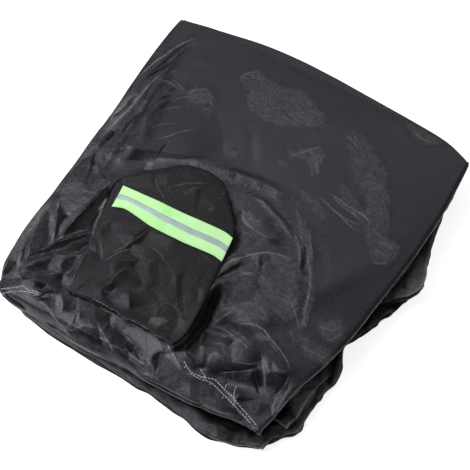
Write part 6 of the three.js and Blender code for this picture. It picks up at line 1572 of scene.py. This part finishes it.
def thread_material(name):
    m = Nodes(name)
    place = m.place()
    twist = m.noise(place, 1800.0, 2.0)
    m.link(m.blend(m.span(twist, 0.3, 0.7), rgb(0.62, 0.62, 0.64), rgb(0.85, 0.85, 0.88)), "Base Color")
    m.shader.inputs["Roughness"].default_value = 0.7
    m.link(m.bump(twist, 0.0001, 0.5), "Normal")
    return m.material


def floor_material(name):
    m = Nodes(name)
    soft = m.noise(m.place(), 3.0, 2.0)
    m.link(m.blend(soft, rgb(0.93, 0.93, 0.93), rgb(0.95, 0.95, 0.95)), "Base Color")
    m.shader.inputs["Roughness"].default_value = 0.9
    m.shader.inputs["Specular IOR Level"].default_value = 0.1
    m.shader.inputs["Emission Color"].default_value = rgb(1, 1, 1)
    m.shader.inputs["Emission Strength"].default_value = 0.8
    return m.material


# --------------------------------------------------------------------- the stage
def build_stage():
    mesh = bpy.data.meshes.new("studio_floor")
    n, half = 8, 4.0
    side = np.linspace(-half, half, n + 1)
    verts = [(x, y, 0.0) for y in side for x in side]
    mesh.from_pydata(verts, [], grid_quads(n + 1, n + 1).tolist())
    floor = bpy.data.objects.new("studio_floor", mesh)
    bpy.context.scene.collection.objects.link(floor)
    floor.data.materials.append(floor_material("studio_paper"))

    world = bpy.data.worlds.new("studio")
    bpy.context.scene.world = world
    world.use_nodes = True
    world.node_tree.nodes["Background"].inputs["Color"].default_value = rgb(1.0, 1.0, 1.0)
    world.node_tree.nodes["Background"].inputs["Strength"].default_value = 0.14

    def softbox(name, direction, distance, width, height, radiance):
        light = bpy.data.lights.new(name, "AREA")
        light.shape = "RECTANGLE"
        light.size, light.size_y = width, height
        light.energy = radiance * math.pi * width * height
        obj = bpy.data.objects.new(name, light)
        bpy.context.scene.collection.objects.link(obj)
        d = Vector(direction).normalized()
        obj.location = d * distance
        obj.rotation_euler = d.to_track_quat("Z", "Y").to_euler()

    softbox("left_softbox", (-0.60, -0.22, 0.77), 1.7, 1.4, 1.1, 4.4)
    softbox("back_softbox", (-0.20, 0.60, 0.77), 2.0, 2.0, 1.5, 0.7)

    camera = bpy.data.cameras.new("camera")
    camera.sensor_width = 36.0
    camera.lens = 36.0 * 1800.0 / 542.0
    camera.clip_start, camera.clip_end = 0.05, 20.0
    obj = bpy.data.objects.new("camera", camera)
    bpy.context.scene.collection.objects.link(obj)
    a, e = math.radians(31.4), math.radians(58.0)
    back = Vector((math.sin(a) * math.cos(e), -math.cos(a) * math.cos(e), math.sin(e)))
    right = Vector((math.cos(a), math.sin(a), 0.0))
    up = back.cross(right)
    aim = Vector((-ORIGIN[0] / 1000, -ORIGIN[1] / 1000, 0.030))
    turn = Matrix((right, up, back)).transposed().to_4x4()
    obj.matrix_world = Matrix.Translation(aim + back * 1.8) @ turn
    bpy.context.scene.camera = obj
    bpy.context.scene.view_settings.view_transform = "Standard"
    bpy.context.scene.view_settings.look = "None"


# ---------------------------------------------------------------------- build
build_stage()

# cloth colours: dark and light random tones, roughness, colour of the painted highlight on rolled edges, specular level
cover_fabric = cloth_material("coated_cover_cloth", rgb(0.0082, 0.0080, 0.0100), rgb(0.0134, 0.0130, 0.0164), 0.31,
                              rgb(0.30, 0.30, 0.31), 0.59)
pocket_fabric = cloth_material("pocket_cloth", rgb(0.006, 0.006, 0.007), rgb(0.010, 0.010, 0.011), 0.46,
                               rgb(0.20, 0.20, 0.21), 0.29)

cloth = cover_relief()
(top_front, top_middle, top_back), top_points, top_x, top_s = build_top(cloth, cover_fabric)
layers = build_layers(cover_fabric)
bag = pocket_relief()
pocket, pocket_seam = build_pocket(bag, pocket_fabric)
ribbon = build_strip("green_ribbon", RIBBON_WIDTH, 130, 27, 0.9, 0.7, bag, pocket_seam, 1.2,
                     ribbon_material("green_webbing"))
stripe = build_strip("silver_stripe_tape", STRIPE_WIDTH - 0.6, 130, 8, 1.45, 0.5, bag, pocket_seam, 0.0,
                     tape_material("silver_tape"))
stitches = build_stitches(surface_finder(top_points, top_x, top_s), thread_material("pale_thread"))

for piece, node, slot in ((top_front, "cover_cloth", "cover_fabric"), (top_middle, "cover_cloth", "cover_fabric"),
                          (top_back, "cover_cloth", "cover_fabric"), (layers, "cover_cloth", "cover_fabric"),
                          (pocket, "mirror_pocket", "pocket_fabric"), (ribbon, "reflective_band", "green_ribbon"),
                          (stripe, "silver_stripe", "silver_tape"), (stitches, None, "cover_fabric")):
    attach(piece, "root")
    if node:
        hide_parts(node)
